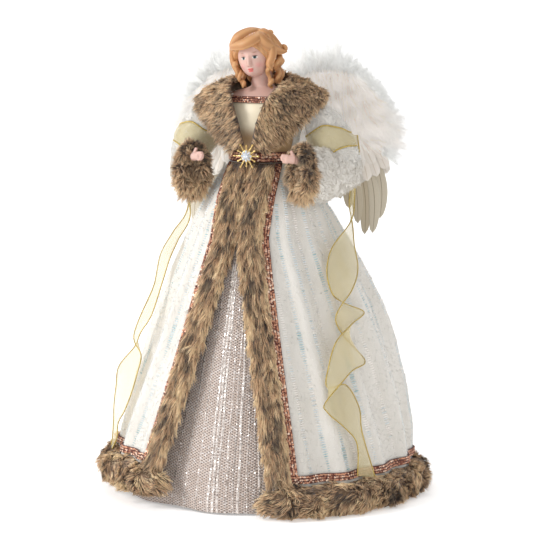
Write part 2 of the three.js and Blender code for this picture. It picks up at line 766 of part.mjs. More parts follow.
function furCuff() {
  const steps = 22;
  return loft(Array.from({ length: steps }, (_, i) => {
    const a = (i / steps) * 2 * Math.PI;
    const out = forearmSide.clone().multiplyScalar(Math.cos(a)).addScaledVector(upward, Math.sin(a));
    const centre = cuffCentre.clone().addScaledVector(forearmSide, cuffHalfWidth * Math.cos(a))
      .addScaledVector(upward, cuffHalfHeight * Math.sin(a));
    return ellipseRing(centre, out, forearmAxis, cuffFurRadius, cuffFurRadius, 8);
  }), true);
}

// Fingers: place across the palm as a share of its width, and length as a share of the hand's.
const fingerShares = [[-0.36, 0.42], [-0.12, 0.5], [0.12, 0.48], [0.36, 0.38]];

function hand() {
  const start = stubBack;
  const end = start.clone().addScaledVector(forearmAxis, stubLength);
  const stub = rod(start, end, stubRadius, 10);
  const inward = new THREE.Vector3(-1, -0.35, 0.1).normalize();
  const palmMiddle = end.clone().addScaledVector(inward, handLength * 0.28);
  const turn = new THREE.Quaternion().setFromUnitVectors(new THREE.Vector3(1, 0, 0), inward);
  const palm = new THREE.SphereGeometry(1, 8, 6).scale(handLength * 0.34, handThickness / 2, handWidth / 2)
    .applyQuaternion(turn).translate(palmMiddle.x, palmMiddle.y, palmMiddle.z);
  const fingers = fingerShares.map(([across, length]) => {
    const root = palmMiddle.clone().addScaledVector(upward, across * handWidth);
    const tip = root.clone().addScaledVector(inward, handLength * (0.2 + length))
      .addScaledVector(upward, -across);
    return rod(root, tip, fingerRadius * 0.8, 6);
  });
  const thumbTip = palmMiddle.clone().addScaledVector(upward, handWidth * 0.85)
    .addScaledVector(inward, handLength * 0.18);
  return joined([stub, palm, ...fingers, rod(palmMiddle, thumbTip, fingerRadius * 0.85, 6)]);
}

// The ribbon

// The band over the elbow lies on the upper sleeve: shares along the arm, and angles round it.
const bandFromShare = 0.2;
const bandToShare = 0.72;
const bandStart = THREE.MathUtils.degToRad(-250);
const bandEnd = THREE.MathUtils.degToRad(55);

function ribbonBand() {
  const columns = 14;
  const rows = [bandFromShare, lerp(bandFromShare, bandToShare, 0.5), bandToShare];
  const grid = (out) => rows.map((share) => Array.from(
    { length: columns + 1 },
    (_, j) => upperSleevePoint(share, lerp(bandStart, bandEnd, j / columns), out),
  ));
  return sheetBody(grid(ribbonStandOff + ribbonThickness), grid(ribbonStandOff), false);
}

// The middle of the hanging ribbon: it leaves the band behind the arm, hangs past the elbow, then follows the
// skirt.
const tailStartBack = elbowBack / 2 + sleevePuffRadius + ribbonStandOff + 2 * (ribbonThickness + clearance);
const tailTwistFrom = 0.2;

function tailMiddle(share) {
  const z = lerp(tailStartHeight, tailEndHeight, share);
  const angle = lerp(tailTopAngle, tailHemAngle, share);
  const standOff = hemFoldDepth + tailHalfDepth + braidThickness + 3 * clearance;
  const onSkirt = skirtPoint(angle, z, skirtRadiusAt(z) + standOff);
  const hang = new THREE.Vector3(tailHangOut, tailHangBack, z);
  return new THREE.Vector3(tailStartOut, tailStartBack, z).lerp(hang, smoothstep(share, 0.02, 0.3))
    .lerp(onSkirt, smoothstep(share, 0.2, 0.5));
}

function ribbonTail() {
  const steps = 34;
  const grid = (side) => Array.from({ length: steps + 1 }, (_, i) => {
    const share = i / steps;
    const centre = tailMiddle(share);
    const angle = Math.atan2(centre.x, -centre.y);
    const outward = new THREE.Vector3(Math.sin(angle), -Math.cos(angle), 0);
    const sideways = new THREE.Vector3(Math.cos(angle), Math.sin(angle), 0);
    const twist = Math.max(0, (share - tailTwistFrom) / (1 - tailTwistFrom));
    const turn = Math.PI / 2 + tailHalfTurns * Math.PI * twist;
    const edge = sideways.clone().multiplyScalar(tailHalfWidth * Math.cos(turn))
      .addScaledVector(outward, tailHalfDepth * Math.sin(turn));
    const face = new THREE.Vector3().crossVectors(edge, upward).normalize().multiplyScalar(ribbonThickness / 2);
    return [-1, 1].map((end) => centre.clone().addScaledVector(edge, end).addScaledVector(face, side));
  });
  return sheetBody(grid(1), grid(-1), false);
}

const backStrapAngle = THREE.MathUtils.degToRad(100);
const ribbonStrap = () => torsoLayer(
  backStrapBottom, backStrapBottom + backStrapWidth,
  robeBodiceOut + clearance, robeBodiceOut + clearance + ribbonThickness,
  backStrapAngle, 2 * Math.PI - backStrapAngle, 12,
);

// The brooch

const broochHeight = beltBottom + beltWidth * 0.75;
const beltFront = -torsoPoint(0, beltBottom + beltWidth / 2, beltNear + beltThickness).y;
const broochBack = beltFront + broochStandOff;

function broochStar() {
  const pieces = [new THREE.CylinderGeometry(broochHubRadius, broochHubRadius, broochThickness, 12)];
  for (let k = 0; k < broochRays; k++) {
    const a = (k / broochRays) * 2 * Math.PI;
    const reach = k % 2 ? broochRadius * 0.8 : broochRadius;
    const tip = new THREE.Vector3(reach * Math.cos(a), 0, reach * Math.sin(a));
    const ray = new THREE.BoxGeometry(reach, broochThickness * 0.8, rayWidth)
      .translate(reach / 2, 0, 0).rotateY(-a);
    pieces.push(ray, new THREE.OctahedronGeometry(rayBallRadius).translate(tip.x, 0, tip.z));
  }
  return joined(pieces).translate(0, -(broochBack + broochThickness / 2 + clearance), broochHeight);
}

function broochStone() {
  const profile = [
    new THREE.Vector2(0, 0), new THREE.Vector2(stoneRadius, 0),
    new THREE.Vector2(stoneRadius, stoneHeight * 0.4),
    new THREE.Vector2(stoneRadius * 0.6, stoneHeight), new THREE.Vector2(0, stoneHeight),
  ];
  const front = broochBack + broochThickness + 2 * clearance;
  return new THREE.LatheGeometry(profile, 8).rotateX(Math.PI).translate(0, -front, broochHeight);
}

const broochPin = () => rod(
  new THREE.Vector3(0, -beltFront - clearance, broochHeight - beltWidth * 0.25),
  new THREE.Vector3(0, -broochBack, broochHeight - beltWidth * 0.25),
  broochPinRadius,
);

// The wings, made for the doll's left side in the wing's own plane: x outwards, y up, z towards the front

// The backing's outline: outward as a share of the span, and upward as a share of the rise.
const backingShares = [
  [0, 0.7], [0.12, 0.86], [0.31, 0.97], [0.5, 1], [0.69, 0.92], [0.85, 0.71], [0.96, 0.44], [1, 0.12],
  [0.98, -0.22], [0.92, -0.5], [0.8, -0.62], [0.62, -0.56], [0.42, -0.3], [0.2, -0.16], [0, -0.2],
];

function placeWing(geometry) {
  return geometry.rotateX(Math.PI / 2).rotateX(wingLean).rotateZ(wingSweep)
    .translate(wingOut, wingBack, wingHeight);
}

const wingPoint = ([x, y]) => new THREE.Vector2(x * wingSpan, y * wingRise);

function plate(outline, near, thickness) {
  const shape = new THREE.Shape(outline);
  return new THREE.ExtrudeGeometry(shape, { depth: thickness, bevelEnabled: false }).translate(0, 0, near);
}

const wingBacking = () => placeWing(
  fromSolid(toSolid(plate(backingShares.map(wingPoint), 0, backingThickness))),
);

// Long feathers: root and tip, each outward and upward as shares of the span and the rise.
const quillShares = [
  [0.3, 0.1, 0.5, -0.74], [0.38, 0.12, 0.6, -0.84], [0.46, 0.1, 0.7, -0.96], [0.54, 0.08, 0.8, -1.2],
  [0.62, 0.05, 0.89, -1.28], [0.7, 0.02, 0.96, -1.06], [0.78, 0, 1, -0.78],
];

// A feather's outline along its length: place, and half width as a share of the full one.
const featherShares = [
  [0, 0.12], [0.12, 0.34], [0.35, 0.47], [0.6, 0.5], [0.82, 0.42], [0.94, 0.24], [1, 0.05],
];

function wingQuills() {
  const near = -(quillThickness + quillStagger + clearance);
  const feathers = quillShares.map(([rootX, rootY, tipX, tipY], k) => {
    const root = wingPoint([rootX, rootY]);
    const tip = wingPoint([tipX, tipY]);
    const length = root.distanceTo(tip);
    const sides = [1, -1].map((side) => featherShares.map(
      ([place, half]) => new THREE.Vector2(place * length, side * half * quillWidth),
    ));
    const outline = [...sides[1], ...sides[0].reverse()];
    const lift = k % 2 ? quillStagger : 0;
    return plate(outline, near + lift, quillThickness)
      .rotateZ(Math.atan2(tip.y - root.y, tip.x - root.x)).translate(root.x, root.y, 0);
  });
  return placeWing(joined(feathers));
}

// The soft feathers over the upper wing, drawn in from the backing's edge and clear of the pad between the
// wings.
const covertInnerShare = 0.24;

function wingCoverts() {
  const near = backingThickness + clearance;
  const outline = backingShares.map(([x, y]) => wingPoint([Math.max(x, covertInnerShare), y]));
  const middle = new THREE.Vector2(0.5 * wingSpan, 0.3 * wingRise);
  const layerShares = [[0.92, 0], [0.94, 0.3], [0.8, 0.8], [0.5, 1]];
  const rings = layerShares.map(([size, height]) => outline.map((p) => {
    const q = p.clone().sub(middle).multiplyScalar(size).add(middle);
    return new THREE.Vector3(q.x, q.y, near + height * covertDepth);
  }));
  return placeWing(loft(rings));
}

// The fluffy edging round the top and outer edge, as a tube whose radius swells and falls.
function wingMarabou() {
  const edge = backingShares.slice(1, 9).map(wingPoint).map((p) => new THREE.Vector3(p.x, p.y, 0));
  const curve = new THREE.CatmullRomCurve3(edge);
  const steps = 22;
  const forward = new THREE.Vector3(0, 0, 1);
  const rings = Array.from({ length: steps + 1 }, (_, i) => {
    const t = i / steps;
    const along = curve.getTangent(t);
    const away = new THREE.Vector3().crossVectors(along, forward).normalize().negate();
    const swell = Math.sin(Math.PI * (0.12 + 0.8 * t)) * 0.35 + 0.75 + 0.07 * Math.cos(9 * Math.PI * t);
    const radius = plumeRadius * swell;
    const centre = curve.getPoint(t).addScaledVector(away, radius + 1.5 * clearance)
      .addScaledVector(forward, backingThickness / 2);
    return ellipseRing(centre, away, forward, radius, radius * 0.9, 8);
  });
  return placeWing(loft(rings));
}

// The pad that the wings are glued to, from the robe's back to the backings.
function wingPad() {
  const robeBack = torsoPoint(Math.PI, padBottom, robeBodiceOut + clearance).y;
  const deep = wingBack - robeBack + padHeight;
  const block = new THREE.BoxGeometry(padWidth, deep, padHeight)
    .translate(0, robeBack - cutOverrun + deep / 2, padBottom + padHeight / 2);
  const rows = rowsBetween(torsoRows, coneHeight, neckTop);
  const torso = loft(rows.map((z) => torsoRing(z, robeBodiceOut + clearance)));
  const big = 4 * wingSpan;
  const behindWing = (side) => new THREE.BoxGeometry(big, big, big)
    .translate(side * (big / 2 - wingOut), big / 2 - clearance, 0).rotateX(wingLean)
    .rotateZ(side * wingSweep).translate(side * wingOut, wingBack - backingThickness, wingHeight);
  return cutBy(block, [torso, behindWing(1), behindWing(-1)]);
}

// The assembly

const topper = new THREE.Group();
topper.name = "angel_tree_topper";

function add(group, name, geometry, finishName) {
  const mesh = new THREE.Mesh(geometry, finish(finishName));
  mesh.name = name;
  group.add(mesh);
}

// A piece on the doll's left side and its mirror image on the right.
function addPair(group, name, geometry, finishName) {
  add(group, `${name}_left`, geometry, finishName);
  add(group, `${name}_right`, mirrored(geometry), finishName);
}

add(topper, "support_cone", cone(), "card");
add(topper, "torso_block", torsoBlock(), "foam");
add(topper, "shoulder_wire", shoulderWire(), "steel");
add(topper, "neck_post", neckPostRod(0), "dowel");
add(topper, "bisque_bust", bisqueBust(), "bisque");
add(topper, "satin_bodice", satinBodice(), "satin");
add(topper, "neckline_braid", neckBraid(), "braid");
add(topper, "belt_braid", beltBraid(), "braid");
add(topper, "robe_bodice", robeBodice(), "velvet");
add(topper, "gown_skirt", gownSkirt(), "knit");
addPair(topper, "robe_skirt", robeSkirt(), "velvet");
addPair(topper, "front_fur", frontFur(), "fur");
addPair(topper, "hem_fur", hemFur(), "fur");
addPair(topper, "front_braid", frontBraid(), "braid");
addPair(topper, "hem_braid", hemBraid(), "braid");
addPair(topper, "fur_collar", furCollar(), "fur");
add(topper, "brooch_star", broochStar(), "gold");
add(topper, "brooch_stone", broochStone(), "crystal");
add(topper, "brooch_pin", broochPin(), "steel");
add(topper, "wing_pad", wingPad(), "foam");
addPair(topper, "wing_backing", wingBacking(), "feather");
addPair(topper, "wing_quills", wingQuills(), "feather");
addPair(topper, "wing_coverts", wingCoverts(), "feather");
addPair(topper, "wing_marabou", wingMarabou(), "feather");
add(topper, "ribbon_back_strap", ribbonStrap(), "organza");
addPair(topper, "ribbon_tail", ribbonTail(), "organza");
addPair(topper, "ribbon_band", ribbonBand(), "organza");
addPair(topper, "arm_wire", armWire(), "steel");
addPair(topper, "upper_sleeve", upperSleeve(), "velvet");
addPair(topper, "lower_sleeve", lowerSleeve(), "velvet");
addPair(topper, "fur_cuff", furCuff(), "fur");
addPair(topper, "hand", hand(), "bisque");

export default topper;
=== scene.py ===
# %% [markdown]
# # An angel tree topper
# A bisque doll stands on a hollow card cone. The doll wears a knitted gown, a white plush robe edged with
# brown fur and copper braid, a ribbon round the arms and feather wings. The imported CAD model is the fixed
# frame of the picture, and each soft or fine piece is dressed over the solid that holds its place.

import math

import bpy
import numpy as np
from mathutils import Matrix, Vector


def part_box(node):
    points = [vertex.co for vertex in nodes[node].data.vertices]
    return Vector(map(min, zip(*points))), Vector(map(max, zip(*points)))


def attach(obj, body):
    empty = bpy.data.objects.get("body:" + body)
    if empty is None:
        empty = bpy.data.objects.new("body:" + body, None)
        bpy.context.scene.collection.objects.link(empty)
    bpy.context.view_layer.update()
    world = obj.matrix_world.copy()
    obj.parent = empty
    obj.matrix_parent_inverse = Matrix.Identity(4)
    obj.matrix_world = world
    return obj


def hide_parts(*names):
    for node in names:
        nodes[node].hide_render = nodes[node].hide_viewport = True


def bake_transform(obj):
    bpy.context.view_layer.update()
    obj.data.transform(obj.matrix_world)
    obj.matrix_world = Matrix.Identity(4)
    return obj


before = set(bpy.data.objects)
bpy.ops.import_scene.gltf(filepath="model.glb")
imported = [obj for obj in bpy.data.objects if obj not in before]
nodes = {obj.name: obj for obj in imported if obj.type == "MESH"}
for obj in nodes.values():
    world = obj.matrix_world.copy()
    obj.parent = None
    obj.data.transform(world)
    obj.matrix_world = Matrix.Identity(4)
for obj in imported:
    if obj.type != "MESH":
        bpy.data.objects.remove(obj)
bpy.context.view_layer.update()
scene = bpy.context.scene
MM = 0.001

# %% [markdown]
# ## Camera, floor and light
# The picture was taken from a little to the doll's left and a little above its waist. A long lens from two
# metres keeps the lines of the skirt straight, as a product photograph does. The light is plain and soft:
# a white room, one large lamp to the left of the camera, a weak one on the right and one overhead. The floor
# curves up behind the doll into a backdrop, so no horizon shows.

# %% Camera
CAMERA_TURN = math.radians(20)
CAMERA_RISE = math.radians(8)
CAMERA_REACH = 2.2
CAMERA_AIM = Vector((0.0057, 0.0021, 0.1902))

camera_data = bpy.data.cameras.new("camera")
camera_data.sensor_width = 36
camera_data.lens = 169
camera = bpy.data.objects.new("camera", camera_data)
scene.collection.objects.link(camera)
back = Vector((
    math.sin(CAMERA_TURN) * math.cos(CAMERA_RISE),
    -math.cos(CAMERA_TURN) * math.cos(CAMERA_RISE),
    math.sin(CAMERA_RISE),
))
camera.location = CAMERA_AIM + back * CAMERA_REACH
camera.rotation_euler = (-back).to_track_quat("-Z", "Y").to_euler()
scene.camera = camera
scene.view_settings.view_transform = "Standard"
print("camera at", [round(x, 3) for x in camera.location])


# %% Lamps and the white room
def lamp(name, place, aim, size, watts):
    """A square soft lamp at a place, turned to face the aim."""
    data = bpy.data.lights.new(name, "AREA")
    data.size = size
    data.energy = watts
    shown = bpy.data.objects.new(name, data)
    shown.location = place
    shown.rotation_euler = (Vector(aim) - Vector(place)).to_track_quat("-Z", "Y").to_euler()
    scene.collection.objects.link(shown)
    return shown


world = bpy.data.worlds.new("white_room")
world.use_nodes = True
sky_inputs = world.node_tree.nodes["Background"].inputs
sky_inputs["Color"].default_value = (1, 0.99, 0.98, 1)
sky_inputs["Strength"].default_value = 0.53
scene.world = world
lamp("key_lamp", (-1.6, -1.35, 1.4), (0, 0, 0.2), 0.75, 34)
lamp("side_lamp", (1.4, -1.3, 0.9), (0, 0, 0.2), 0.9, 2.5)
lamp("top_lamp", (0, 0.5, 2), (0, 0, 0.2), 1.2, 8)
print("3 lamps")


# %% [markdown]
# ## Meshes from whole arrays
# Each new piece is worked out as arrays of points in millimetres and put into a mesh in one go. A closed
# body is turned so that its faces point outwards by the sign of its volume.

# %% Making a mesh
def put_mesh(name, points, quads=None, triangles=None, quad_uv=None, marks=None, smooth=True):
    """One object from points in millimetres and index rows. The volume is the sum, over each face's
    triangles, of the corner products p0 . (p1 x p2), and a negative one turns every face round."""
    quads = np.zeros((0, 4), int) if quads is None else quads
    triangles = np.zeros((0, 3), int) if triangles is None else triangles
    halves = np.concatenate([quads[:, [0, 1, 2]], quads[:, [0, 2, 3]], triangles])
    centred = points - points.mean(0)
    a, b, c = (centred[halves[:, k]] for k in range(3))
    if np.einsum("ij,ij->", a, np.cross(b, c)) < 0:
        quads = quads[:, ::-1]
        triangles = triangles[:, ::-1]
        quad_uv = None if quad_uv is None else quad_uv[:, ::-1]
    mesh = bpy.data.meshes.new(name)
    corners = np.concatenate([quads.ravel(), triangles.ravel()])
    starts = np.concatenate([np.arange(len(quads)) * 4, quads.size + np.arange(len(triangles)) * 3])
    mesh.vertices.add(len(points))
    mesh.vertices.foreach_set("co", (points * MM).astype(np.float32).ravel())
    mesh.loops.add(len(corners))
    mesh.loops.foreach_set("vertex_index", corners.astype(np.int32))
    mesh.polygons.add(len(starts))
    mesh.polygons.foreach_set("loop_start", starts.astype(np.int32))
    mesh.polygons.foreach_set("use_smooth", np.full(len(starts), smooth))
    mesh.update(calc_edges=True)
    if quad_uv is not None:
        flat = np.zeros((len(corners), 2))
        flat[: quads.size] = quad_uv.reshape(-1, 2)
        mesh.uv_layers.new(name="UVMap").data.foreach_set("uv", flat.astype(np.float32).ravel())
    for mark, values in (marks or {}).items():
        mesh.attributes.new(mark, "FLOAT", "POINT").data.foreach_set("value", values.astype(np.float32))
    shown = bpy.data.objects.new(name, mesh)
    scene.collection.objects.link(shown)
    return shown


def grid_faces(rows, columns, around=False, looped=False):
    """The quads between neighbouring points of a grid, and each corner's row and column before wrapping."""
    i = np.arange(rows if looped else rows - 1)[:, None] + np.zeros(columns if around else columns - 1, int)
    j = np.zeros_like(i) + np.arange(i.shape[1])
    row = np.stack([i, i, i + 1, i + 1], -1).reshape(-1, 4)
    column = np.stack([j, j + 1, j + 1, j], -1).reshape(-1, 4)
    return (row % rows) * columns + column % columns, row, column


# %% Sheets, tubes and rounded bodies
def sheet_mesh(name, outer, inner, u, v, around=False):
    """A closed thin sheet: the outer grid, the inner grid turned over, and strips of quads along the rims.
    u runs over the columns and v over the rows, in millimetres of cloth."""
    rows, columns = outer.shape[:2]
    total = rows * columns
    front, row, column = grid_faces(rows, columns, around)
    quads = [front, front[:, ::-1] + total]
    uv = [np.stack([u[column], v[row]], -1)]
    uv.append(uv[0][:, ::-1])

    def rim(indices, us, vs):
        """A strip of quads between the two layers, along a row of points with their u and v."""
        a, b = indices[:-1], indices[1:]
        quads.append(np.stack([b, a, a + total, b + total], -1))
        ends = np.stack([us, vs], -1)
        uv.append(np.stack([ends[1:], ends[:-1], ends[:-1], ends[1:]], 1))

    across = np.arange(columns + 1 if around else columns)
    up = np.arange(rows)
    rim(across % columns, u[across], np.full(len(across), v[0]))
    rim(((rows - 1) * columns + across % columns)[::-1], u[across][::-1], np.full(len(across), v[-1]))
    if not around:
        rim((up * columns)[::-1], np.full(rows, u[0]), v[::-1])
        rim(up * columns + columns - 1, np.full(rows, u[-1]), v)
    points = np.concatenate([outer.reshape(-1, 3), inner.reshape(-1, 3)])
    return put_mesh(name, points, np.concatenate(quads), quad_uv=np.concatenate(uv))


def tube_faces(count, around, looped=False):
    """A tube's quads, the row and column of each corner, and the triangles that close its ends. They count
    on the rings' points in order, and then the middle of the first ring and of the last."""
    quads, row, column = grid_faces(count, around, around=True, looped=looped)
    first = np.arange(around)
    last = first + (count - 1) * around
    foot = np.stack([np.full(around, count * around), np.roll(first, -1), first], -1)
    top = np.stack([np.full(around, count * around + 1), last, np.roll(last, -1)], -1)
    return quads, row, column, np.concatenate([foot, top])


def lofted_mesh(name, rings, looped=False, marks=None):
    """A closed body through rings of points (ring, point, 3), which may loop back to its first ring. u runs
    round the ring and v along the body, both from 0 to 1."""
    count, around = rings.shape[:2]
    quads, row, column, ends = tube_faces(count, around, looped)
    uv = np.stack([column / around, row / (count if looped else count - 1)], -1)
    if looped:
        return put_mesh(name, rings.reshape(-1, 3), quads, quad_uv=uv)
    points = np.concatenate([rings.reshape(-1, 3), [rings[0].mean(0), rings[-1].mean(0)]])
    marks = {k: np.append(m, [m[0].mean(), m[-1].mean()]) for k, m in (marks or {}).items()}
    return put_mesh(name, points, quads, ends, uv, marks)


def copies_mesh(name, points, faces, tone, smooth=True, **marks):
    """Many small bodies in one mesh: their points (body, point, 3), one body's triangles, and their tones."""
    count, each = points.shape[:2]
    triangles = (np.arange(count)[:, None, None] * each + np.array(faces)).reshape(-1, 3)
    marks["tone"] = np.repeat(tone, each)
    return put_mesh(name, points.reshape(-1, 3), triangles=triangles, marks=marks, smooth=smooth)


# %% Small helpers for points
def ring_turn(count):
    """Even steps once round a circle, in radians."""
    return np.arange(count) * 2 * np.pi / count


UP = np.array([0, 0, 1.0])


def share_grid(rows, around, end=1.0, looped=False):
    """Two whole grids of shares for a tube: along it up to the end, and once round it."""
    along = np.arange(rows) / rows if looped else np.linspace(0, end, rows)
    return np.meshgrid(along, np.arange(around) / around, indexing="ij")


def unit(vectors):
    """The same directions at length 1."""
    return vectors / np.maximum(np.linalg.norm(vectors, axis=-1, keepdims=True), 1e-9)


def ease(x, low, high):
    """0 below low, 1 above high, and 3t^2 - 2t^3 between them."""
    t = np.clip((x - low) / (high - low), 0, 1)
    return t * t * (3 - 2 * t)


def mix(a, b, t):
    """The straight way from a to b, at share t."""
    return a + (b - a) * t


def drift(points, size, seed):
    """Smooth noise about 0, mostly between -1 and 1: six sine waves with random directions over about
    the size given in millimetres, added up and halved."""
    pick = np.random.default_rng(seed)
    waves = unit(pick.normal(size=(6, 3))) * (2 * np.pi / size) * pick.uniform(0.6, 1.6, (6, 1))
    return np.sin(points @ waves.T + pick.uniform(0, 2 * np.pi, 6)).sum(-1) / 2.4


def dress(shown, body, slot, finish, *stands_for):
    """Gives a piece its finish and its body, and hides the CAD nodes that it stands for. The slot is not
    used.
    """
    shown.data.materials.clear()
    shown.data.materials.append(finish)
    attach(shown, body)
    if stands_for:
        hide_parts(*stands_for)
    return shown


# %% The floor and the backdrop
sweep = np.linspace(0, np.pi / 2, 25)
sweep_depth = np.concatenate([[-4000], 1300 + 1700 * np.sin(sweep), [3000]])[:, None]
sweep_height = np.concatenate([[0], 1700 - 1700 * np.cos(sweep), [5000]])[:, None]
sweep_across = np.array([[-5000, 5000]])
floor_points = np.stack([sweep_across * math.cos(CAMERA_TURN) - sweep_depth * math.sin(CAMERA_TURN),
                         sweep_across * math.sin(CAMERA_TURN) + sweep_depth * math.cos(CAMERA_TURN),
                         sweep_height + 0 * sweep_across], -1).reshape(-1, 3)
floor = put_mesh("floor", floor_points, grid_faces(len(sweep_depth), 2)[0])
floor_paint = bpy.data.materials.new("floor_paint")
floor_paint.use_nodes = True
floor_inputs = floor_paint.node_tree.nodes["Principled BSDF"].inputs
floor_inputs["Base Color"].default_value = (0.93, 0.93, 0.93, 1)
floor_inputs["Roughness"].default_value = 0.9
floor_inputs["Emission Color"].default_value = (1, 1, 1, 1)
floor_inputs["Emission Strength"].default_value = 0.36
floor.data.materials.append(floor_paint)
print("floor and backdrop in one sweep")


# %% [markdown]
# ## Finishes
# A colour is written as it reads on a screen, from 0 to 255, and turned into light. Small node groups hold
# one effect each: a fine grain, a tint that runs along a hair, a knit and a painted spot. They put out
# colours, masks and heights only, and every shader stays in its own material.

# %% Colour and node helpers
def shade(red, green, blue):
    """A screen colour as light: below 0.04045 it is divided by 12.92, and above it is
    ((c + 0.055) / 1.055) ^ 2.4."""
    c = np.array([red, green, blue]) / 255
    light = np.where(c <= 0.04045, c / 12.92, ((c + 0.055) / 1.055) ** 2.4)
    return (*light.tolist(), 1.0)


def place_node(tree, kind, inputs=None, **settings):
    """Adds a node, makes its settings, and fills its inputs with values or links."""
    made = tree.nodes.new(kind)
    for key, value in settings.items():
        setattr(made, key, value)
    for key, value in (inputs or {}).items():
        if isinstance(value, bpy.types.NodeSocket):
            tree.links.new(value, made.inputs[key])
        else:
            made.inputs[key].default_value = value
    return made


def calc(tree, operation, *parts):
    """One step of arithmetic on values or sockets."""
    return place_node(tree, "ShaderNodeMath", dict(enumerate(parts)), operation=operation).outputs[0]


def vector_calc(tree, operation, *parts):
    """One step of arithmetic on vectors. A length comes out on the second of the sockets."""
    return place_node(tree, "ShaderNodeVectorMath", dict(enumerate(parts)), operation=operation).outputs


def blended(tree, factor, a, b):
    """Colour a, with colour b laid over it by the factor."""
    inputs = {0: factor, 6: a, 7: b}
    return place_node(tree, "ShaderNodeMix", inputs, data_type="RGBA", clamp_factor=True).outputs[2]


def spread(tree, value, low, high, to_low=0.0, to_high=1.0, smooth=True):
    """Carries a value from one range to another, and holds it at the ends."""
    inputs = {"Value": value, "From Min": low, "From Max": high, "To Min": to_low, "To Max": to_high}
    kind = "SMOOTHSTEP" if smooth else "LINEAR"
    return place_node(tree, "ShaderNodeMapRange", inputs, interpolation_type=kind).outputs["Result"]


def read_mark(tree, name):
    """A mark on the mesh, such as the tone of a hair, as a value."""
    return place_node(tree, "ShaderNodeAttribute", attribute_name=name).outputs["Fac"]


def place_on(tree, kind="Object"):
    """Where the shaded point lies: in the object's own metres, or on its UV."""
    return place_node(tree, "ShaderNodeTexCoord").outputs[kind]


def parts_of(tree, vector):
    """The three numbers of a vector, as sockets."""
    return place_node(tree, "ShaderNodeSeparateXYZ", {0: vector}).outputs


# %% Node groups
def open_group(name, inputs, outputs):
    """A new node group with named sockets, its inputs as (name, kind, value)."""
    tree = bpy.data.node_groups.new(name, "ShaderNodeTree")
    kinds = {"value": "NodeSocketFloat", "colour": "NodeSocketColor", "vector": "NodeSocketVector"}
    for label, kind, value in inputs:
        socket = tree.interface.new_socket(label, in_out="INPUT", socket_type=kinds[kind])
        if value is not None:
            socket.default_value = value
    for label, kind in outputs:
        tree.interface.new_socket(label, in_out="OUTPUT", socket_type=kinds[kind])
    return tree, tree.nodes.new("NodeGroupInput").outputs, tree.nodes.new("NodeGroupOutput").inputs


def place_group(tree, group, inputs):
    """A copy of a node group in a material, with its values filled in."""
    return place_node(tree, "ShaderNodeGroup", inputs, node_tree=group).outputs


# %% Group: fine grain
grain, given, put_out = open_group(
    "fine_grain",
    [("Vector", "vector", None), ("Size", "value", 400.0), ("Stretch", "vector", (1.0, 1.0, 1.0))],
    [("Mask", "value"), ("Height", "value")])
scaled = vector_calc(grain, "MULTIPLY", given["Vector"], given["Stretch"])[0]
for label, size, detail in (("Mask", 60.0, 3.0), ("Height", given["Size"], 2.0)):
    inputs = {"Vector": scaled, "Scale": size, "Detail": detail}
    grain.links.new(place_node(grain, "ShaderNodeTexNoise", inputs).outputs[0], put_out[label])

# %% Group: tint along a hair
tint, given, put_out = open_group(
    "hair_tint",
    [("Tone", "value", 0.5), ("Along", "value", 0.5), ("Dark", "colour", (0.1, 0.1, 0.1, 1)),
     ("Middle", "colour", (0.4, 0.4, 0.4, 1)), ("Light", "colour", (0.8, 0.8, 0.8, 1))],
    [("Colour", "colour")])
TINT_STEPS = (  # the mark that is read, its range, how much of the new colour that gives, the new colour
    ("Tone", 0.0, 0.5, 0.0, 1.0, "Middle"), ("Tone", 0.5, 1.0, 0.0, 1.0, "Light"),
    # Along each hair the roots are darkened: the real dark underfur of the brown furs, and painted shade at
    # the roots of the white down and pile.
    ("Along", 0.35, 1.0, 0.0, 0.35, "Light"), ("Along", 0.0, 0.4, 0.55, 0.0, "Dark"),
)
tinted = given["Dark"]
for label, low, high, to_low, to_high, colour in TINT_STEPS:
    tinted = blended(tint, spread(tint, given[label], low, high, to_low, to_high), tinted, given[colour])
tint.links.new(tinted, put_out["Colour"])
print("groups:", [g.name for g in bpy.data.node_groups])


# %% Starting a finish and filling its shader
def start_finish(name, **plain):
    """A material, its node tree and its shader, whose plain values are set on its own sockets."""
    made = bpy.data.materials.new(name)
    made.use_nodes = True
    shader = made.node_tree.nodes["Principled BSDF"]
    for key, value in plain.items():
        shader.inputs[key.replace("_", " ").title()].default_value = value
    return made, made.node_tree, shader


def add_grain(tree, size, stretch=(1.0, 1.0, 1.0)):
    """A grain on the object: the mask of its coarse noise and the height of its fine noise."""
    noise = place_group(tree, grain, {"Vector": place_on(tree), "Size": size, "Stretch": stretch})
    return noise["Mask"], noise["Height"]


def feed(tree, shader, colour, height=None, distance=0.0, strength=1.0):
    """Feeds the shader a colour, and a height through a Bump node. The distance is in metres."""
    tree.links.new(colour, shader.inputs["Base Color"])
    if height is not None:
        inputs = {"Height": height, "Distance": distance, "Strength": strength}
        bump = place_node(tree, "ShaderNodeBump", inputs)
        tree.links.new(bump.outputs["Normal"], shader.inputs["Normal"])


# %% Finishes of hair, of grained and of toned pieces
def hair_finish(name, dark, middle, light, roughness=0.75, sheen=0.15, painted_glow=0.0):
    """A matte hair whose colour follows the marks tone and along on its strands. Its emission is painted
    light: it stands in for the light that a white down lets through, and it lifts the shade that close hairs
    cast on each other."""
    made, tree, shader = start_finish(name, roughness=roughness, sheen_weight=sheen,
                                      emission_color=(1, 1, 1, 1), emission_strength=painted_glow)
    colour = place_group(tree, tint, {"Tone": read_mark(tree, "tone"), "Along": read_mark(tree, "along"),
                                      "Dark": shade(*dark), "Middle": shade(*middle), "Light": shade(*light)})
    feed(tree, shader, colour["Colour"])
    return made


def grained_finish(name, dark, pale, size, distance, stretch=(1.0, 1.0, 1.0), strength=1.0, **plain):
    """A grained material: two colours mixed by coarse noise, with fine noise as its bumps."""
    made, tree, shader = start_finish(name, **plain)
    mask, height = add_grain(tree, size, stretch)
    feed(tree, shader, blended(tree, mask, shade(*dark), shade(*pale)), height, distance, strength)
    return made


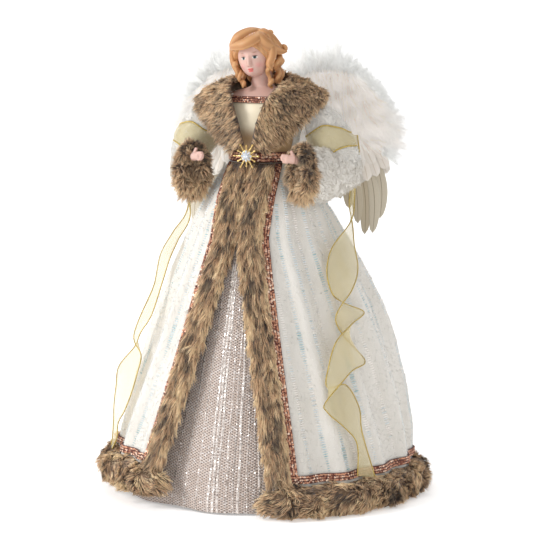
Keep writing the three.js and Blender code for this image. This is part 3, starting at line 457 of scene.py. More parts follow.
def toned_finish(name, first, *steps, smooth=True, **plain):
    """A material whose colour follows each small piece's tone: the first colour, and then steps of two
    tones and the colour that is reached between them."""
    made, tree, shader = start_finish(name, **plain)
    tone = read_mark(tree, "tone")
    colour = shade(*first)
    for low, high, reached in steps:
        colour = blended(tree, spread(tree, tone, low, high, smooth=smooth), colour, shade(*reached))
    feed(tree, shader, colour)
    return made


# %% Fur, plush and sequins
brown_fur = hair_finish("brown_fur", (80, 66, 59), (209, 168, 130), (255, 228, 184))
fur_skin = grained_finish("fur_skin", (66, 54, 44), (122, 98, 74), 500.0, 0.0008, roughness=0.95)
plush = grained_finish("white_plush", (220, 215, 206), (242, 239, 233), 900.0, 0.0006, (1.0, 1.0, 0.35), 0.6,
                       roughness=0.9, sheen_weight=0.35, sheen_roughness=0.4)
# The last number of each pile finish is its faint painted glow.
# The sleeve pile is a darker, warmer copy of the plush pile: painted shade on the lower sleeves.
shaded_sleeve_pile = hair_finish("shaded_sleeve_pile", (210, 202, 190), (228, 221, 210), (244, 239, 230), 0.85, 0.3, 0.02)
plush_pile = hair_finish("plush_pile", (206, 200, 190), (241, 239, 235), (254, 254, 253), 0.85, 0.3, 0.05)
sequin = toned_finish("sequins", (164, 198, 202), (0.0, 0.4, (220, 228, 231)), (0.5, 0.9, (252, 247, 242)),
                      roughness=0.3, metallic=0.15, coat_weight=0.4)
# Each disc's tone runs from a shaded to a lit copper: painted shade and painted highlights, picked at random,
# as well as the real flashes of the tipped discs.
copper = toned_finish("copper_sequins", (126, 70, 56), (0.0, 0.5, (216, 158, 128)),
                      (0.6, 1.0, (255, 228, 206)), roughness=0.32, metallic=0.5)
silver = toned_finish("silver_sequins", (158, 144, 136), (0.0, 1.0, (244, 236, 230)), smooth=False,
                      roughness=0.25, metallic=0.6)
tape = grained_finish("maroon_tape", (66, 32, 30), (118, 66, 58), 1200.0, 0.0005, roughness=0.7)
print("finishes of fur, plush and braid")


# %% [markdown]
# ## The skirt's shape
# The robe, the gown, the fur and the braid all follow one flared surface. Its fullness runs from 0 at the
# waist to 1 at the hem, read from the same table as the CAD model's.

# %% The flare
HEM_RADIUS, HEM_HEIGHT, WAIST_HEIGHT = 128.0, 10.0, 286.0
WAIST_RADIUS = 107 - (107 - 24) * WAIST_HEIGHT / 290 + 3.3
FLARE = np.array([[0, 1], [0.072, 0.96], [0.181, 0.865], [0.34, 0.735], [0.507, 0.59], [0.67, 0.444],
                  [0.815, 0.3], [0.888, 0.212], [0.942, 0.12], [1, 0]])
FINE_SHARES = np.linspace(0, 1, 401)
fine_fullness = np.interp(FINE_SHARES, FLARE[:, 0], FLARE[:, 1])
soft_window = np.hanning(41) / np.hanning(41).sum()
ends = np.concatenate([2 * fine_fullness[0] - fine_fullness[20:0:-1], fine_fullness,
                       2 * fine_fullness[-1] - fine_fullness[-2:-22:-1]])
fine_fullness = np.convolve(ends, soft_window, "valid")


def fullness(z):
    """How full the skirt is at a height: the table, with its corners rounded."""
    return np.interp((z - HEM_HEIGHT) / (WAIST_HEIGHT - HEM_HEIGHT), FINE_SHARES, fine_fullness)


def skirt_radius(z):
    """Straight from the waist's radius to the hem's by the fullness."""
    return mix(WAIST_RADIUS, HEM_RADIUS, fullness(z))


def skirt_point(angle, z, radius):
    """x = r sin(angle) and y = -r cos(angle), with y drawn in by up to 7.5% behind."""
    flat = np.where(np.cos(angle) < 0, 1 - 0.075 * np.maximum(0, fullness(z)), 1)
    return np.stack(np.broadcast_arrays(radius * np.sin(angle), -radius * np.cos(angle) * flat, z), -1)


def fur_centre(z):
    """How far the middle of the front fur stands from the centre line."""
    return 10.3 + 49 * np.maximum(0, (225 - z) / 215)


def fur_angle(z):
    """The angle at which the skirt's radius reaches that distance."""
    return np.arcsin(np.clip(fur_centre(z) / skirt_radius(z), -1, 1))


TRAIN = np.array([[1, 1], [34, 7], [60, 13], [95, 17.5], [130, 20], [165, 19.5], [200, 13], [225, 8],
                  [250, 2.5], [286, 0]])


def train(angle, z):
    """How far the robe swells out behind the arms: its table by height, from nothing at 65 degrees from the
    front to the whole of it at 110."""
    return np.interp(z, TRAIN[:, 0], TRAIN[:, 1]) * ease(np.degrees(angle), 65, 110)


def robe_point(share, z, out):
    """The robe by the share from its front edge to the centre back: eight folds, -cos(16 pi share), which
    fade in behind the fur and out at the back seam, and grow with the fullness to 5 mm. The braid and the
    fur hold the lowest 60 mm flatter, down to 2 mm at the hem."""
    edge = fur_angle(z) - 4 / skirt_radius(z)
    angle = mix(edge, np.pi, share)
    from_edge = (angle - edge) * skirt_radius(z)
    held = mix(0.4, 1.0, ease(z, 18, 60))
    fold = 5 * held * fullness(z) * ease(from_edge, 19.5, 33.5) * ease(1 - share, 0, 1 / 8)
    return skirt_point(angle, z, skirt_radius(z) + train(angle, z) - fold * np.cos(16 * np.pi * share) + out)


def worn(points, flip):
    """The coat's points on one side of the doll. The half on the doll's right hangs up to 10 mm higher at
    its hem, as in the picture. The lift fades out upwards by 150 mm and towards the back."""
    placed = points * flip
    if flip[0] < 0:
        behind = ease(placed[..., 1], 20, 110)
        placed[..., 2] = placed[..., 2] + 10 * (1 - ease(points[..., 2], 10, 150)) * (1 - behind)
    return placed


def mirrored(points, flip):
    """Points on one side of the doll, without that lift."""
    return points * flip


BOTH_SIDES = (("left", np.array([1, 1, 1])), ("right", np.array([-1, 1, 1])))
print("waist radius", round(WAIST_RADIUS, 2), "mm, hem radius", HEM_RADIUS, "mm")

# %% [markdown]
# ## The robe's skirt
# White plush with upright rows of sequins woven into it. The cloth swells a little between the rows, so the
# grid adds a low ridge between each pair. The sequins are thin pieces of their own, stacked like the
# rungs of a ladder, because a painted line wouldn't catch the light.

# %% Robe cloth
ROW_COUNT = 20
BACK_SEAM = 0.9997


def plush_ridge(share):
    """0 on a sequin row and up to 1.5 mm halfway between two rows."""
    return 1.5 * np.abs(np.sin(np.pi * ROW_COUNT * share)) ** 0.8


def robe_grid(out, columns=241, rows=66):
    """The robe's points on a fine grid, in rows from the hem to the waist."""
    share = np.linspace(0, BACK_SEAM, columns)[None, :]
    z = np.linspace(HEM_HEIGHT, WAIST_HEIGHT, rows)[:, None]
    soft = 0.35 * drift(robe_point(share, z, 0), 45, 11)
    return robe_point(share, z, out + (plush_ridge(share) - 1.3 + soft) * fullness(z))


def cloth_run(grid):
    """Distances along a grid's middle row and middle column, in millimetres."""
    across = np.linalg.norm(np.diff(grid[len(grid) // 2], axis=0), axis=1)
    up = np.linalg.norm(np.diff(grid[:, grid.shape[1] // 2], axis=0), axis=1)
    return np.concatenate([[0], across.cumsum()]), np.concatenate([[0], up.cumsum()])


def sheet_facts(grid):
    """A sheet's flat width and length in metres: its mean row and its mean column."""
    width = np.linalg.norm(np.diff(grid, axis=1), axis=2).sum(1).mean()
    length = np.linalg.norm(np.diff(grid, axis=0), axis=2).sum(0).mean()
    return (float(width) * MM, float(length) * MM)


robe_outer = robe_grid(0)
robe_inner = robe_grid(-1.5)
for side, flip in BOTH_SIDES:
    robe = sheet_mesh(f"robe_skirt_cloth_{side}", worn(robe_outer, flip), worn(robe_inner, flip),
                      *cloth_run(robe_outer))
    dress(robe, "root", "plush", plush, f"robe_skirt_{side}")
print("robe half:", [round(x, 3) for x in sheet_facts(robe_outer)], "m")


# %% Sequin plates
def sequin_mesh(name, centre, along, outward, width, height, tone):
    """Thin six-sided plates: each has a middle edge that stands out, so it is a low roof of two slopes.
    Corners are centre plus or minus the half width and half height, and the roof's ridge is 0.45 mm out."""
    half_w = (width / 2)[:, None] * unit(np.cross(along, outward))
    half_h = height / 2 * along
    lift, sink = 0.45 * outward, -0.25 * outward
    corners = np.stack([
        centre - half_w - half_h + sink, centre + half_w - half_h + sink, centre + half_w + half_h + sink,
        centre - half_w + half_h + sink, centre - half_w * 0.8 + lift, centre + half_w * 0.8 + lift], 1)
    faces = [[0, 3, 2], [0, 2, 1], [0, 1, 5], [0, 5, 4], [2, 3, 4], [2, 4, 5], [3, 0, 4], [1, 2, 5]]
    return copies_mesh(name, corners, faces, tone, smooth=False)


# %% Sequin rows on the robe
SEQUIN_PITCH, SEQUIN_HEIGHT = 1.9, 1.3
pick = np.random.default_rng(7)
row_share = (np.arange(1, ROW_COUNT) / ROW_COUNT)[:, None]
row_z = np.arange(36.0, 282, SEQUIN_PITCH)[None, :]
share, z = (a.ravel() for a in np.broadcast_arrays(row_share, row_z))
clear_of_fur = share * (np.pi - fur_angle(z)) * skirt_radius(z) > 22
keep = clear_of_fur & (fullness(z) > 0.1)
share, z = share[keep], z[keep]
at = robe_point(share, z, 0.25 - 1.3 * fullness(z))
up = unit(robe_point(share, z + 1, 0) - robe_point(share, z - 1, 0))
sideways = unit(robe_point(share + 1e-3, z, 0) - robe_point(share - 1e-3, z, 0))
outward = unit(np.cross(sideways, up))
outward *= np.sign((outward[:, :2] * at[:, :2]).sum(1))[:, None]
row_tone = pick.uniform(0.4, 0.95, ROW_COUNT)[np.round(share * ROW_COUNT).astype(int) % ROW_COUNT]
tone = np.clip(row_tone + 0.3 * drift(at, 60, 3) + pick.normal(0, 0.16, len(at)), 0, 1)
size = np.interp(fullness(z), [0, 1], [2.6, 5.2])
for side, flip in BOTH_SIDES:
    plates = sequin_mesh(f"robe_sequins_{side}", worn(at, flip), up * flip, outward * flip,
                         size, SEQUIN_HEIGHT, tone)
    dress(plates, "root", "plush", sequin)
print(len(at), "sequins on each half of the robe")


# %% [markdown]
# ## Fur
# A fur is a dark skin with thousands of hairs on it. Each hair is a three-sided spike of ten triangles.
# Its tone is picked from patches and streaks, and its lean from the way the pile was brushed, with smooth
# noise so that hairs near each other gather into tufts.

# %% Hairs
def hair_mesh(name, roots, lean, curl, length, width, tone, levels=(0.0, 0.45)):
    """Hairs along root + L (s lean + s^2 curl), with s from 0 at the root to 1 at the tip. Each level has
    three points round that line, at a width that falls to nothing at the tip."""
    count, rings = len(roots), len(levels)
    side = unit(np.cross(lean, unit(drift_vector(roots, 3, 5))))
    other = np.cross(unit(lean), side)
    s = np.array(levels)[None, :, None]
    reach = length[:, None, None]
    middle = roots[:, None] + reach * (s * lean[:, None] + s * s * curl[:, None])
    turn = ring_turn(3)
    around = (np.cos(turn)[:, None] * side[:, None, None] + np.sin(turn)[:, None] * other[:, None, None])
    thick = (width[:, None, None] * (1 - 0.55 * s))[..., None]
    ring_points = (middle[:, :, None] + thick * around).reshape(count, -1, 3)
    tips = (roots + length[:, None] * (lean + curl))[:, None]
    points = np.concatenate([ring_points, tips], 1)
    faces = [[0, 2, 1]]
    for r in range(rings - 1):
        for k in range(3):
            a, b = 3 * r + k, 3 * r + (k + 1) % 3
            faces += [[a, b, b + 3], [a, b + 3, a + 3]]
    top = 3 * (rings - 1)
    faces += [[top + k, top + (k + 1) % 3, 3 * rings] for k in range(3)]
    along = np.tile(np.append(np.repeat(levels, 3), 1.0), count)
    return copies_mesh(name, points, faces, tone, along=along)


def drift_vector(points, size, seed):
    """Three smooth noises as the parts of one vector."""
    return np.stack([drift(points, size, seed + k) for k in range(3)], -1)


def scatter(surface, count, seed):
    """Even random places on a surface of two shares. Of five times as many tries, a place is kept with a
    chance that follows the area there. Returns the points, the directions along both shares, the shares and
    the source of chance."""
    pick = np.random.default_rng(seed)
    u, v = pick.random(count * 5), pick.random(count * 5)
    step = 1e-3
    du = (surface(u + step, v) - surface(u - step, v)) / (2 * step)
    dv = (surface(u, v + step) - surface(u, v - step)) / (2 * step)
    area = np.linalg.norm(np.cross(du, dv), axis=1)
    kept = np.flatnonzero(pick.random(len(u)) < area / np.percentile(area, 99))[:count]
    u, v = u[kept], v[kept]
    return surface(u, v), unit(du[kept]), unit(dv[kept]), u, v, pick


def facing(normal, reference):
    """The normals, each turned to the side that its reference points to."""
    return normal * np.sign((normal * reference).sum(1))[:, None]


# %% Tufts
def tufted(roots, lean, curl, length, hairs_each, pull, seed):
    """Gathers hairs into tufts: one hair in so many leads, and every other hair's tip is drawn by a share
    towards the tip of the leader that grows nearest to it. Returns the new curl and each hair's own tone."""
    pick = np.random.default_rng(seed)
    leaders = pick.choice(len(roots), len(roots) // hairs_each, replace=False)
    tuft = np.concatenate([((part[:, None] - roots[leaders]) ** 2).sum(-1).argmin(1)
                           for part in np.array_split(roots, len(roots) // 300 + 1)])
    tips = roots + length[:, None] * (lean + curl)
    way = tips[leaders][tuft] - tips
    return curl + pull * way / length[:, None], pick.normal(0, 1, len(leaders))[tuft]


# %% Skin and sides of a fur
def bulge(x):
    """A low arch from -1 to 1: the root of 1 - |x|^2.6."""
    return np.sqrt(np.clip(1 - np.abs(x) ** 2.6, 0, 1))


def fur_skin_mesh(name, surface, rows, columns, flip):
    """The skin under the hairs: the filled surface outside, and the bed that it lies on inside."""
    u, v = np.linspace(0, 1, rows)[:, None], np.linspace(0, 1, columns)[None, :]
    outer, inner = worn(surface(u, v), flip), worn(surface(u, v, 0.0), flip)
    return sheet_mesh(name, outer, inner, *cloth_run(outer))


def fur_on_both(name, hairs, strands, bases, skin_of, apart, body="root", place=worn):
    """A fur on each side of the doll, from its hairs' roots, lean, curl and length. The strands give each
    side's widths and tones, from the side's base tone and from places that lie that far apart, so that the
    two sides differ."""
    roots, lean, curl, length = hairs
    for (side, flip), base in zip(BOTH_SIDES, bases):
        rides_on = body if body == "root" else f"{body}_{side}"
        width, tone = strands(roots + (0 if side == "left" else apart), base)
        fur = hair_mesh(f"{name}_hair_{side}", place(roots, flip), lean * flip, curl * flip,
                        length, width, tone)
        dress(fur, rides_on, "brown_fur", brown_fur, f"{name}_{side}")
        dress(skin_of(f"{name}_skin_{side}", flip), rides_on, "brown_fur", fur_skin)
    print(len(roots), "hairs on each", name)


# %% Front fur
FRONT_HAIRS = 10800


def front_surface(u, v, fill=0.6):
    """The front fur's surface: u from the hem fur to the waist, v across it."""
    z = mix(30.0, 286.0, np.clip(u, 0, 1))
    x = 2 * np.clip(v, 0, 1) - 1
    depth = mix(8.0, 5.6, ease(z, 225, 286))
    radius = skirt_radius(z)
    return skirt_point(fur_angle(z) + 10 * x / radius, z, radius + 0.8 + fill * depth * bulge(x))


roots, down, over, u, v, pick = scatter(front_surface, FRONT_HAIRS, 21)
normal = facing(np.cross(down, over), skirt_point(fur_angle(roots[:, 2]), roots[:, 2], 1.0) * [1, 1, 0])
across = 2 * v - 1
sideways = np.where(across < 0, 0.14 * across, -0.3 * ease(across, 0.5, 1.0))
lean = unit(0.36 * normal - 1.0 * down + sideways[:, None] * over + 0.26 * drift_vector(roots, 8, 30)
            + pick.normal(0, 0.1, roots.shape))
curl = -0.14 * down - 0.16 * normal + 0.1 * drift_vector(roots, 6, 40)
length = pick.uniform(8, 16, len(roots)) * (1 - 0.3 * ease(np.abs(across), 0.4, 1.0))
curl, tuft_tone = tufted(roots, lean, curl, length, 4, 0.55, 45)


def front_strands(points, base):
    """Dark streaks along the fur's middle and tan at its edges, with patches and a spread of hairs."""
    width = pick.uniform(0.26, 0.44, len(points))
    streaks = 0.27 * drift(points * [1, 1, 0.16], 5, 50) + 0.2 * drift(points * [1, 1, 0.3], 14, 51)
    tone = base + 0.58 * np.abs(across) ** 1.5 + streaks + pick.normal(0, 0.16, len(points))
    return width, np.clip(tone, 0, 1) + 0.22 * tuft_tone


fur_on_both("front_fur", (roots, lean, curl, length), front_strands, (0.24, 0.24),
            lambda name, flip: fur_skin_mesh(name, front_surface, 90, 13, flip), 70)


# %% Hem fur
HEM_HAIRS = 12600
FLOOR_GAP = 0.4


def hem_surface(u, v, fill=0.78):
    """The hem fur's surface: u from the front opening to the back seam, v over its arch from foot to top."""
    share = mix(-0.05, BACK_SEAM, np.clip(u, 0, 1))
    x = 2 * np.clip(v, 0, 1) - 1
    thin = np.sqrt(np.clip((share + 0.052) / 0.07, 0.02, 1))
    z = 13.4 + 12.2 * x * thin
    place = robe_point(share, np.maximum(z, HEM_HEIGHT), 0.6 + fill * 14.5 * thin * bulge(x))
    return place * [1, 1, 0] + z[..., None] * UP


roots, along_hem, over, u, v, pick = scatter(hem_surface, HEM_HAIRS, 22)
normal = facing(np.cross(along_hem, over), roots * [1, 1, 0])
lean = unit(0.5 * normal - 0.55 * along_hem - 0.3 * UP + 0.36 * drift_vector(roots, 20, 60)
            + 0.14 * drift_vector(roots, 7, 64) + pick.normal(0, 0.11, roots.shape))
curl = 0.2 * drift_vector(roots, 8, 70) - 0.14 * normal
length = pick.uniform(6.5, 11, len(roots)) * (1 - 0.35 * ease(roots[:, 2], 17, 25))
lowest = roots[:, 2] + length * (lean[:, 2] + curl[:, 2])
lean[:, 2] = np.where(lowest < FLOOR_GAP, (FLOOR_GAP - roots[:, 2]) / length - curl[:, 2], lean[:, 2])
curl, tuft_tone = tufted(roots, lean, curl, length, 5, 0.5, 75)


def hem_strands(points, base):
    """Tan along the fur's foot and top, with wide patches, tufts and a spread of hairs."""
    tone = base + 0.3 * np.abs(2 * v - 1) ** 2 + 0.26 * drift(points, 20, 80) + 0.25 * tuft_tone
    tone = np.clip(tone + pick.normal(0, 0.16, len(points)), 0, 1)
    return pick.uniform(0.26, 0.45, len(points)), tone


fur_on_both("hem_fur", (roots, lean, curl, length), hem_strands, (0.38, 0.38),
            lambda name, flip: fur_skin_mesh(name, hem_surface, 240, 13, flip), 90)

# %% [markdown]
# ## Braid
# The braid is a dark maroon tape with copper sequins sewn on it. The tape is a thin sheet, and the sequins
# are small eight-sided domes in three staggered lines, each tipped its own way so that some of them flash.

# %% Discs and tape
def disc_mesh(name, centre, normal, radius, tone, sides=8, dome=0.35, depth=0.25):
    """Small domes: a ring of points round each centre, a point on top and one underneath."""
    side = unit(np.cross(normal, np.array([0.31, 0.27, 0.91])))
    other = np.cross(normal, side)
    turn = ring_turn(sides)[:, None]
    ring = (np.cos(turn) * side[:, None] + np.sin(turn) * other[:, None]) * radius[:, None, None]
    points = np.concatenate([centre[:, None] + ring, (centre + dome * normal)[:, None],
                             (centre - depth * normal)[:, None]], 1)
    k = np.arange(sides)
    after = (k + 1) % sides
    top = np.stack([k, after, np.full(sides, sides)], -1)
    under = np.stack([after, k, np.full(sides, sides + 1)], -1)
    return copies_mesh(name, points, np.concatenate([top, under]), tone, smooth=False)


# %% Braid of a tape and discs
DISC_PITCH = 1.6


def braid_tape(name, surface, run, flip, thickness=0.9):
    """The tape under a braid. The surface takes the share along, the share across and the distance out."""
    u, v = np.linspace(0, 1, max(8, int(run / 4)))[:, None], np.linspace(0, 1, 4)[None, :]
    near, far = worn(surface(u, v, 0.0), flip), worn(surface(u, v, thickness), flip)
    return sheet_mesh(name, far, near, *cloth_run(far))


def braid_discs(name, surface, run, width, flip, seed, thickness=0.9):
    """Staggered lines of discs on the tape, each tipped a little its own way."""
    pick = np.random.default_rng(seed)
    lines, count = 3, int(run / DISC_PITCH)
    line, place = np.meshgrid(np.arange(lines), np.arange(count), indexing="ij")
    along = (place + 0.5 * (line % 2) + 0.5 + pick.normal(0, 0.1, place.shape)) / (count + 1)
    over = (line + 0.5 + pick.normal(0, 0.1, line.shape)) / lines
    along, over = np.clip(along, 0, 1).ravel(), np.clip(over, 0.04, 0.96).ravel()
    centre = surface(along, over, thickness + 0.15)
    e = 1e-3
    du = surface(along + e, over, thickness) - surface(along - e, over, thickness)
    dv = surface(along, over + e, thickness) - surface(along, over - e, thickness)
    normal = facing(unit(np.cross(du, dv)), surface(along, over, 5.0) - centre)
    normal = unit(normal + pick.normal(0, 0.32, normal.shape))
    tone = np.clip(pick.normal(0.55, 0.3, len(centre)), 0, 1)
    radius = pick.uniform(0.74, 0.98, len(centre)) * width / (2 * lines) * 1.1
    return disc_mesh(name, worn(centre, flip), normal * flip, radius, tone)


# %% Front and hem braid
def front_braid(u, v, out):
    """Beside the front fur, from 9.8 to 16.3 mm across, up from the hem braid to the waist."""
    z = mix(34.3, 286.0, np.clip(u, 0, 1))
    across, radius = 9.8 + 6.5 * np.clip(v, 0, 1), skirt_radius(z)
    return skirt_point(fur_angle(z) + across / radius, z, radius + 0.8 + out)


def hem_braid(u, v, out):
    """Along the robe above the hem fur, from the front fur to the back seam."""
    first = 14 / ((np.pi - fur_angle(30.0)) * skirt_radius(30.0))
    return robe_point(mix(first, BACK_SEAM, np.clip(u, 0, 1)), mix(28.0, 34.5, np.clip(v, 0, 1)), 0.6 + out)


BRAIDS = (  # name, surface, length and width in millimetres, seed
    ("front_braid", front_braid, 262, 6.5, 91), ("hem_braid", hem_braid, 400, 5.5, 92),
)
for side, flip in BOTH_SIDES:
    for kind, surface, run, width, seed in BRAIDS:
        strip = braid_tape(f"{kind}_tape_{side}", surface, run, flip)
        discs = braid_discs(f"{kind}_sequins_{side}", surface, run, width, flip, seed)
        dress(strip, "root", "sequin_braid", tape, f"{kind}_{side}")
        dress(discs, "root", "sequin_braid", copper)
print("4 braids on the robe")

# %% [markdown]
# ## The gown
# A fine knit in champagne and taupe, with lines of silver sequins worked into it. Its stitches are a
# staggered lattice of small dark holes, drawn from the cloth's own UV in millimetres, so they follow the
# folds. The bright lines are real discs, as on the robe.

# %% Group: knit
knit, given, put_out = open_group(
    "knit_stitches",
    [("Across", "value", 0.0), ("Along", "value", 0.0), ("Stitch", "value", 1.7), ("Row", "value", 1.15)],
    [("Holes", "value"), ("Height", "value")])
waves = [calc(knit, "SINE", calc(knit, "MULTIPLY", calc(knit, "DIVIDE", given[way], given[size]), math.pi))
         for way, size in (("Across", "Stitch"), ("Along", "Row"))]
wave = calc(knit, "MULTIPLY", *waves)
knit.links.new(spread(knit, wave, 0.25, 0.75), put_out["Holes"])
knit.links.new(spread(knit, wave, -0.6, 0.7, 1.0, 0.0), put_out["Height"])

# %% Knit finish
gown_knit, tree, shader = start_finish("gown_knit", roughness=0.55, sheen_weight=0.2, metallic=0.05)
cloth_uv = place_on(tree, "UV")
across_cloth, along_cloth = parts_of(tree, cloth_uv)[:2]
stitch = place_group(tree, knit, {"Across": across_cloth, "Along": along_cloth})
mask, height = add_grain(tree, 700.0)
yarn = blended(tree, mask, shade(200, 181, 169), shade(230, 214, 204))
# Pale flecks for the lurex thread in the yarn, painted as bright glints.
snapped = vector_calc(tree, "SNAP", cloth_uv, (0.9, 0.9, 0.9))[0]
glint_flecks = place_node(tree, "ShaderNodeTexWhiteNoise", {"Vector": snapped}).outputs[0]
lit_yarn = blended(tree, spread(tree, glint_flecks, 0.72, 1.0), yarn, shade(246, 240, 238))
feed(tree, shader, blended(tree, stitch["Holes"], lit_yarn, shade(104, 86, 78)), stitch["Height"], 0.0007)
print("knit with stitches of 1.7 by 1.15 mm")


# %% Gown cloth
def gown_point(angle, z, out):
    """Inside the robe by the depth of its folds, with nine shallow folds of its own."""
    full = np.maximum(0, fullness(z))
    fold = 2 * full * np.cos(9 * angle) + 0.8 * full * np.sin(5 * angle + 0.6)
    return skirt_point(angle, z, skirt_radius(z) - 1.8 - 5 * full - 2.6 * full + fold + out)


def gown_across(angle, z):
    """Millimetres of cloth across the front. The knit flares less than the skirt does."""
    return angle * (0.45 * skirt_radius(z) + 36)


GOWN_COLUMNS, UV_STEP = 216, 90
gown_z = np.linspace(1, 285, 70)
angle = ring_turn(GOWN_COLUMNS)
hem_wave = (0.9 + 0.9 * np.sin(angle * 9 + 1) * np.sin(angle * 4))[None, :] * ease(gown_z, 30, 1.0)[:, None]
outer, inner = (gown_point(angle[None, :], gown_z[:, None] + hem_wave, out) for out in (0, -1.1))
gown = sheet_mesh("gown_knitted", outer, inner, np.linspace(0, 2 * np.pi, GOWN_COLUMNS + 1) * UV_STEP,
                  gown_z, around=True)
layer = gown.data.uv_layers["UVMap"].data
flat_uv = np.zeros(len(layer) * 2, np.float32)
layer.foreach_get("uv", flat_uv)
turned = flat_uv[0::2] / UV_STEP
turned = np.where(turned > np.pi + 0.01, turned - 2 * np.pi, turned)
flat_uv[0::2] = gown_across(turned, flat_uv[1::2])
layer.foreach_set("uv", flat_uv)
dress(gown, "root", "gown_knit", gown_knit, "gown_skirt")

# %% Sequin lines on the gown
LINES = np.array([-21.0, -14.5, -8.0, -2.2, -0.4, 1.4, 5.0, 7.8, 10.0, 13.4, 16.6, 18.4, 22.4, 26.0])
DENSE = np.array([0, 0, 0, 1, 1, 1, 0, 0, 1, 0, 0, 1, 0, 0])
bead_rows = []
for place, dense in zip(LINES, DENSE):
    z = np.arange(3.0, 228, 1.35 if dense else 2.3)
    angle = np.radians(place) + 0.004 * np.sin(0.09 * z + place)
    inside = np.abs(angle) < fur_angle(z) + 0.03
    bead_rows.append(np.stack([angle[inside], z[inside], np.full(inside.sum(), dense)], -1))
beads = np.concatenate(bead_rows)
pick = np.random.default_rng(15)
bead_at = gown_point(beads[:, 0], beads[:, 1], 0.2)
bead_out = unit(gown_point(beads[:, 0], beads[:, 1], 5) - bead_at + pick.normal(0, 1.1, bead_at.shape))
bead_tone = np.clip(pick.normal(0.6, 0.25, len(beads)) + 0.2 * beads[:, 2], 0, 1)
bead_mesh = disc_mesh("gown_sequins", bead_at, bead_out, np.where(beads[:, 2] > 0, 1.15, 0.95), bead_tone,
                      sides=6)
dress(bead_mesh, "root", "gown_knit", silver)
print(len(beads), "sequins on the gown")

# %% [markdown]
# ## The bodice, the belt and the collar
# The torso's cross-section is an ellipse whose front and back depths differ, read from the CAD's table by
# height. Satin, plush, belt and strap are fitted layers at their own distances out from it.

# %% Torso layers
TORSO = np.array([[0, .73, .82, 1.03], [.16, .75, .84, 1.02], [.32, .82, .93, 1.01], [.49, .93, 1, 1],
                  [.66, 1, .93, .98], [.787, .985, .8, .92], [.869, .87, .65, .8], [.934, .57, .48, .6],
                  [1, .3, .33, .42]])


def torso_point(angle, z, out):
    """x = (w + out) sin(angle), y = -(d + out) cos(angle), where d is the front or the back depth."""
    share = np.clip((z - 290) / 61, 0, 1)
    wide, front, behind = (size * np.interp(share, TORSO[:, 0], TORSO[:, k])
                           for k, size in ((1, 35.5), (2, 29.5), (3, 24)))
    deep = np.where(np.cos(angle) > 0, front, behind)
    return np.stack(np.broadcast_arrays((wide + out) * np.sin(angle), -(deep + out) * np.cos(angle), z), -1)


def torso_sheet(name, low, high, near, far, start, end, columns=97, rows=15):
    """A fitted layer between two heights, two distances out and two angles."""
    z = np.linspace(low, high, rows)[:, None]
    start, end = (edge(z) if callable(edge) else edge for edge in (start, end))
    angle = mix(start, end, np.linspace(0, 1, columns)[None, :])
    outer, inner = torso_point(angle, z, far), torso_point(angle, z, near)
    run_u, run_v = cloth_run(outer)
    closed = np.max(end - start) > 6.28
    if closed:
        outer, inner = outer[:, :-1], inner[:, :-1]
    return sheet_mesh(name, outer, inner, run_u, run_v, around=closed), outer


# %% Satin bodice and plush jacket
satin, tree, shader = start_finish("cream_satin", roughness=0.38, sheen_weight=0.3, sheen_roughness=0.3)
mask, height = add_grain(tree, 1500.0, (1.0, 1.0, 0.2))
cream = blended(tree, mask, shade(242, 225, 190), shade(253, 243, 221))
tan_foot = spread(tree, parts_of(tree, place_on(tree))[2], 0.306, 0.318, 1.0, 0.0)
feed(tree, shader, blended(tree, tan_foot, cream, shade(196, 160, 118)), height, 0.0003, 0.5)
bodice, grid = torso_sheet("satin_bodice_cloth", 290.6, 342, 0.3, 1.3, 0, 2 * np.pi)
dress(bodice, "root", "satin", satin, "satin_bodice")


def jacket_edge(z):
    """The jacket's front edge: 80 degrees from the front at the belt, 45 under the collar."""
    return np.radians(mix(80, 45, ease(z, 304, 326)))


jacket, grid = torso_sheet("robe_bodice_cloth", 295.6, 344, 1.6, 3.1, jacket_edge,
                           lambda z: 2 * np.pi - jacket_edge(z))
dress(jacket, "root", "plush", plush, "robe_bodice")
print("satin and plush on the torso")


# %% Braid of the neckline and the belt
def neckline(u, v, out):
    """Round the front of the neckline, 42 degrees to each side."""
    angle, z = np.radians(mix(-42, 42, np.clip(u, 0, 1))), mix(337.0, 342.3, np.clip(v, 0, 1))
    return torso_point(angle, z, 1.6 + out)


def belt_line(u, v, out):
    """All round the waist, over the robe's top edge."""
    return torso_point(mix(0.0, 2 * np.pi, u), mix(287.0, 294.6, np.clip(v, 0, 1)), 1.9 + out)


unflipped = BOTH_SIDES[0][1]
strip = braid_tape("neckline_tape", neckline, 46, unflipped)
discs = braid_discs("neckline_sequins", neckline, 46, 5.0, unflipped, 93)
dress(strip, "root", "sequin_braid", tape, "neckline_braid")
dress(discs, "root", "sequin_braid", copper)
belt_tape, grid = torso_sheet("belt_tape", 286.6, 295.0, 1.9, 3.3, 0, 2 * np.pi)
dress(belt_tape, "root", "sequin_braid", tape, "belt_braid")
discs = braid_discs("belt_sequins", belt_line, 182, 7.0, unflipped, 94, thickness=1.4)
dress(discs, "root", "sequin_braid", copper)
print("neckline and belt")


# %% Smooth ways through points
def through(rows, t):
    """A smooth curve through rows of values, at shares t from 0 to 1 of its knots. Between the knots b and c,
    with a before them and d after, it is half of 2b + (c - a) s + (2a - 5b + 4c - d) s^2
    + (3b - a - 3c + d) s^3."""
    rows = np.asarray(rows, float)
    rows = np.concatenate([2 * rows[:1] - rows[1:2], rows, 2 * rows[-1:] - rows[-2:-1]])
    place = np.clip(t, 0, 1) * (len(rows) - 3)
    i = np.minimum(place.astype(int), len(rows) - 4)
    s = (place - i)[..., None]
    a, b, c, d = rows[i], rows[i + 1], rows[i + 2], rows[i + 3]
    second, third = 2 * a - 5 * b + 4 * c - d, 3 * b - a - 3 * c + d
    return 0.5 * (2 * b + (c - a) * s + second * s ** 2 + third * s ** 3)


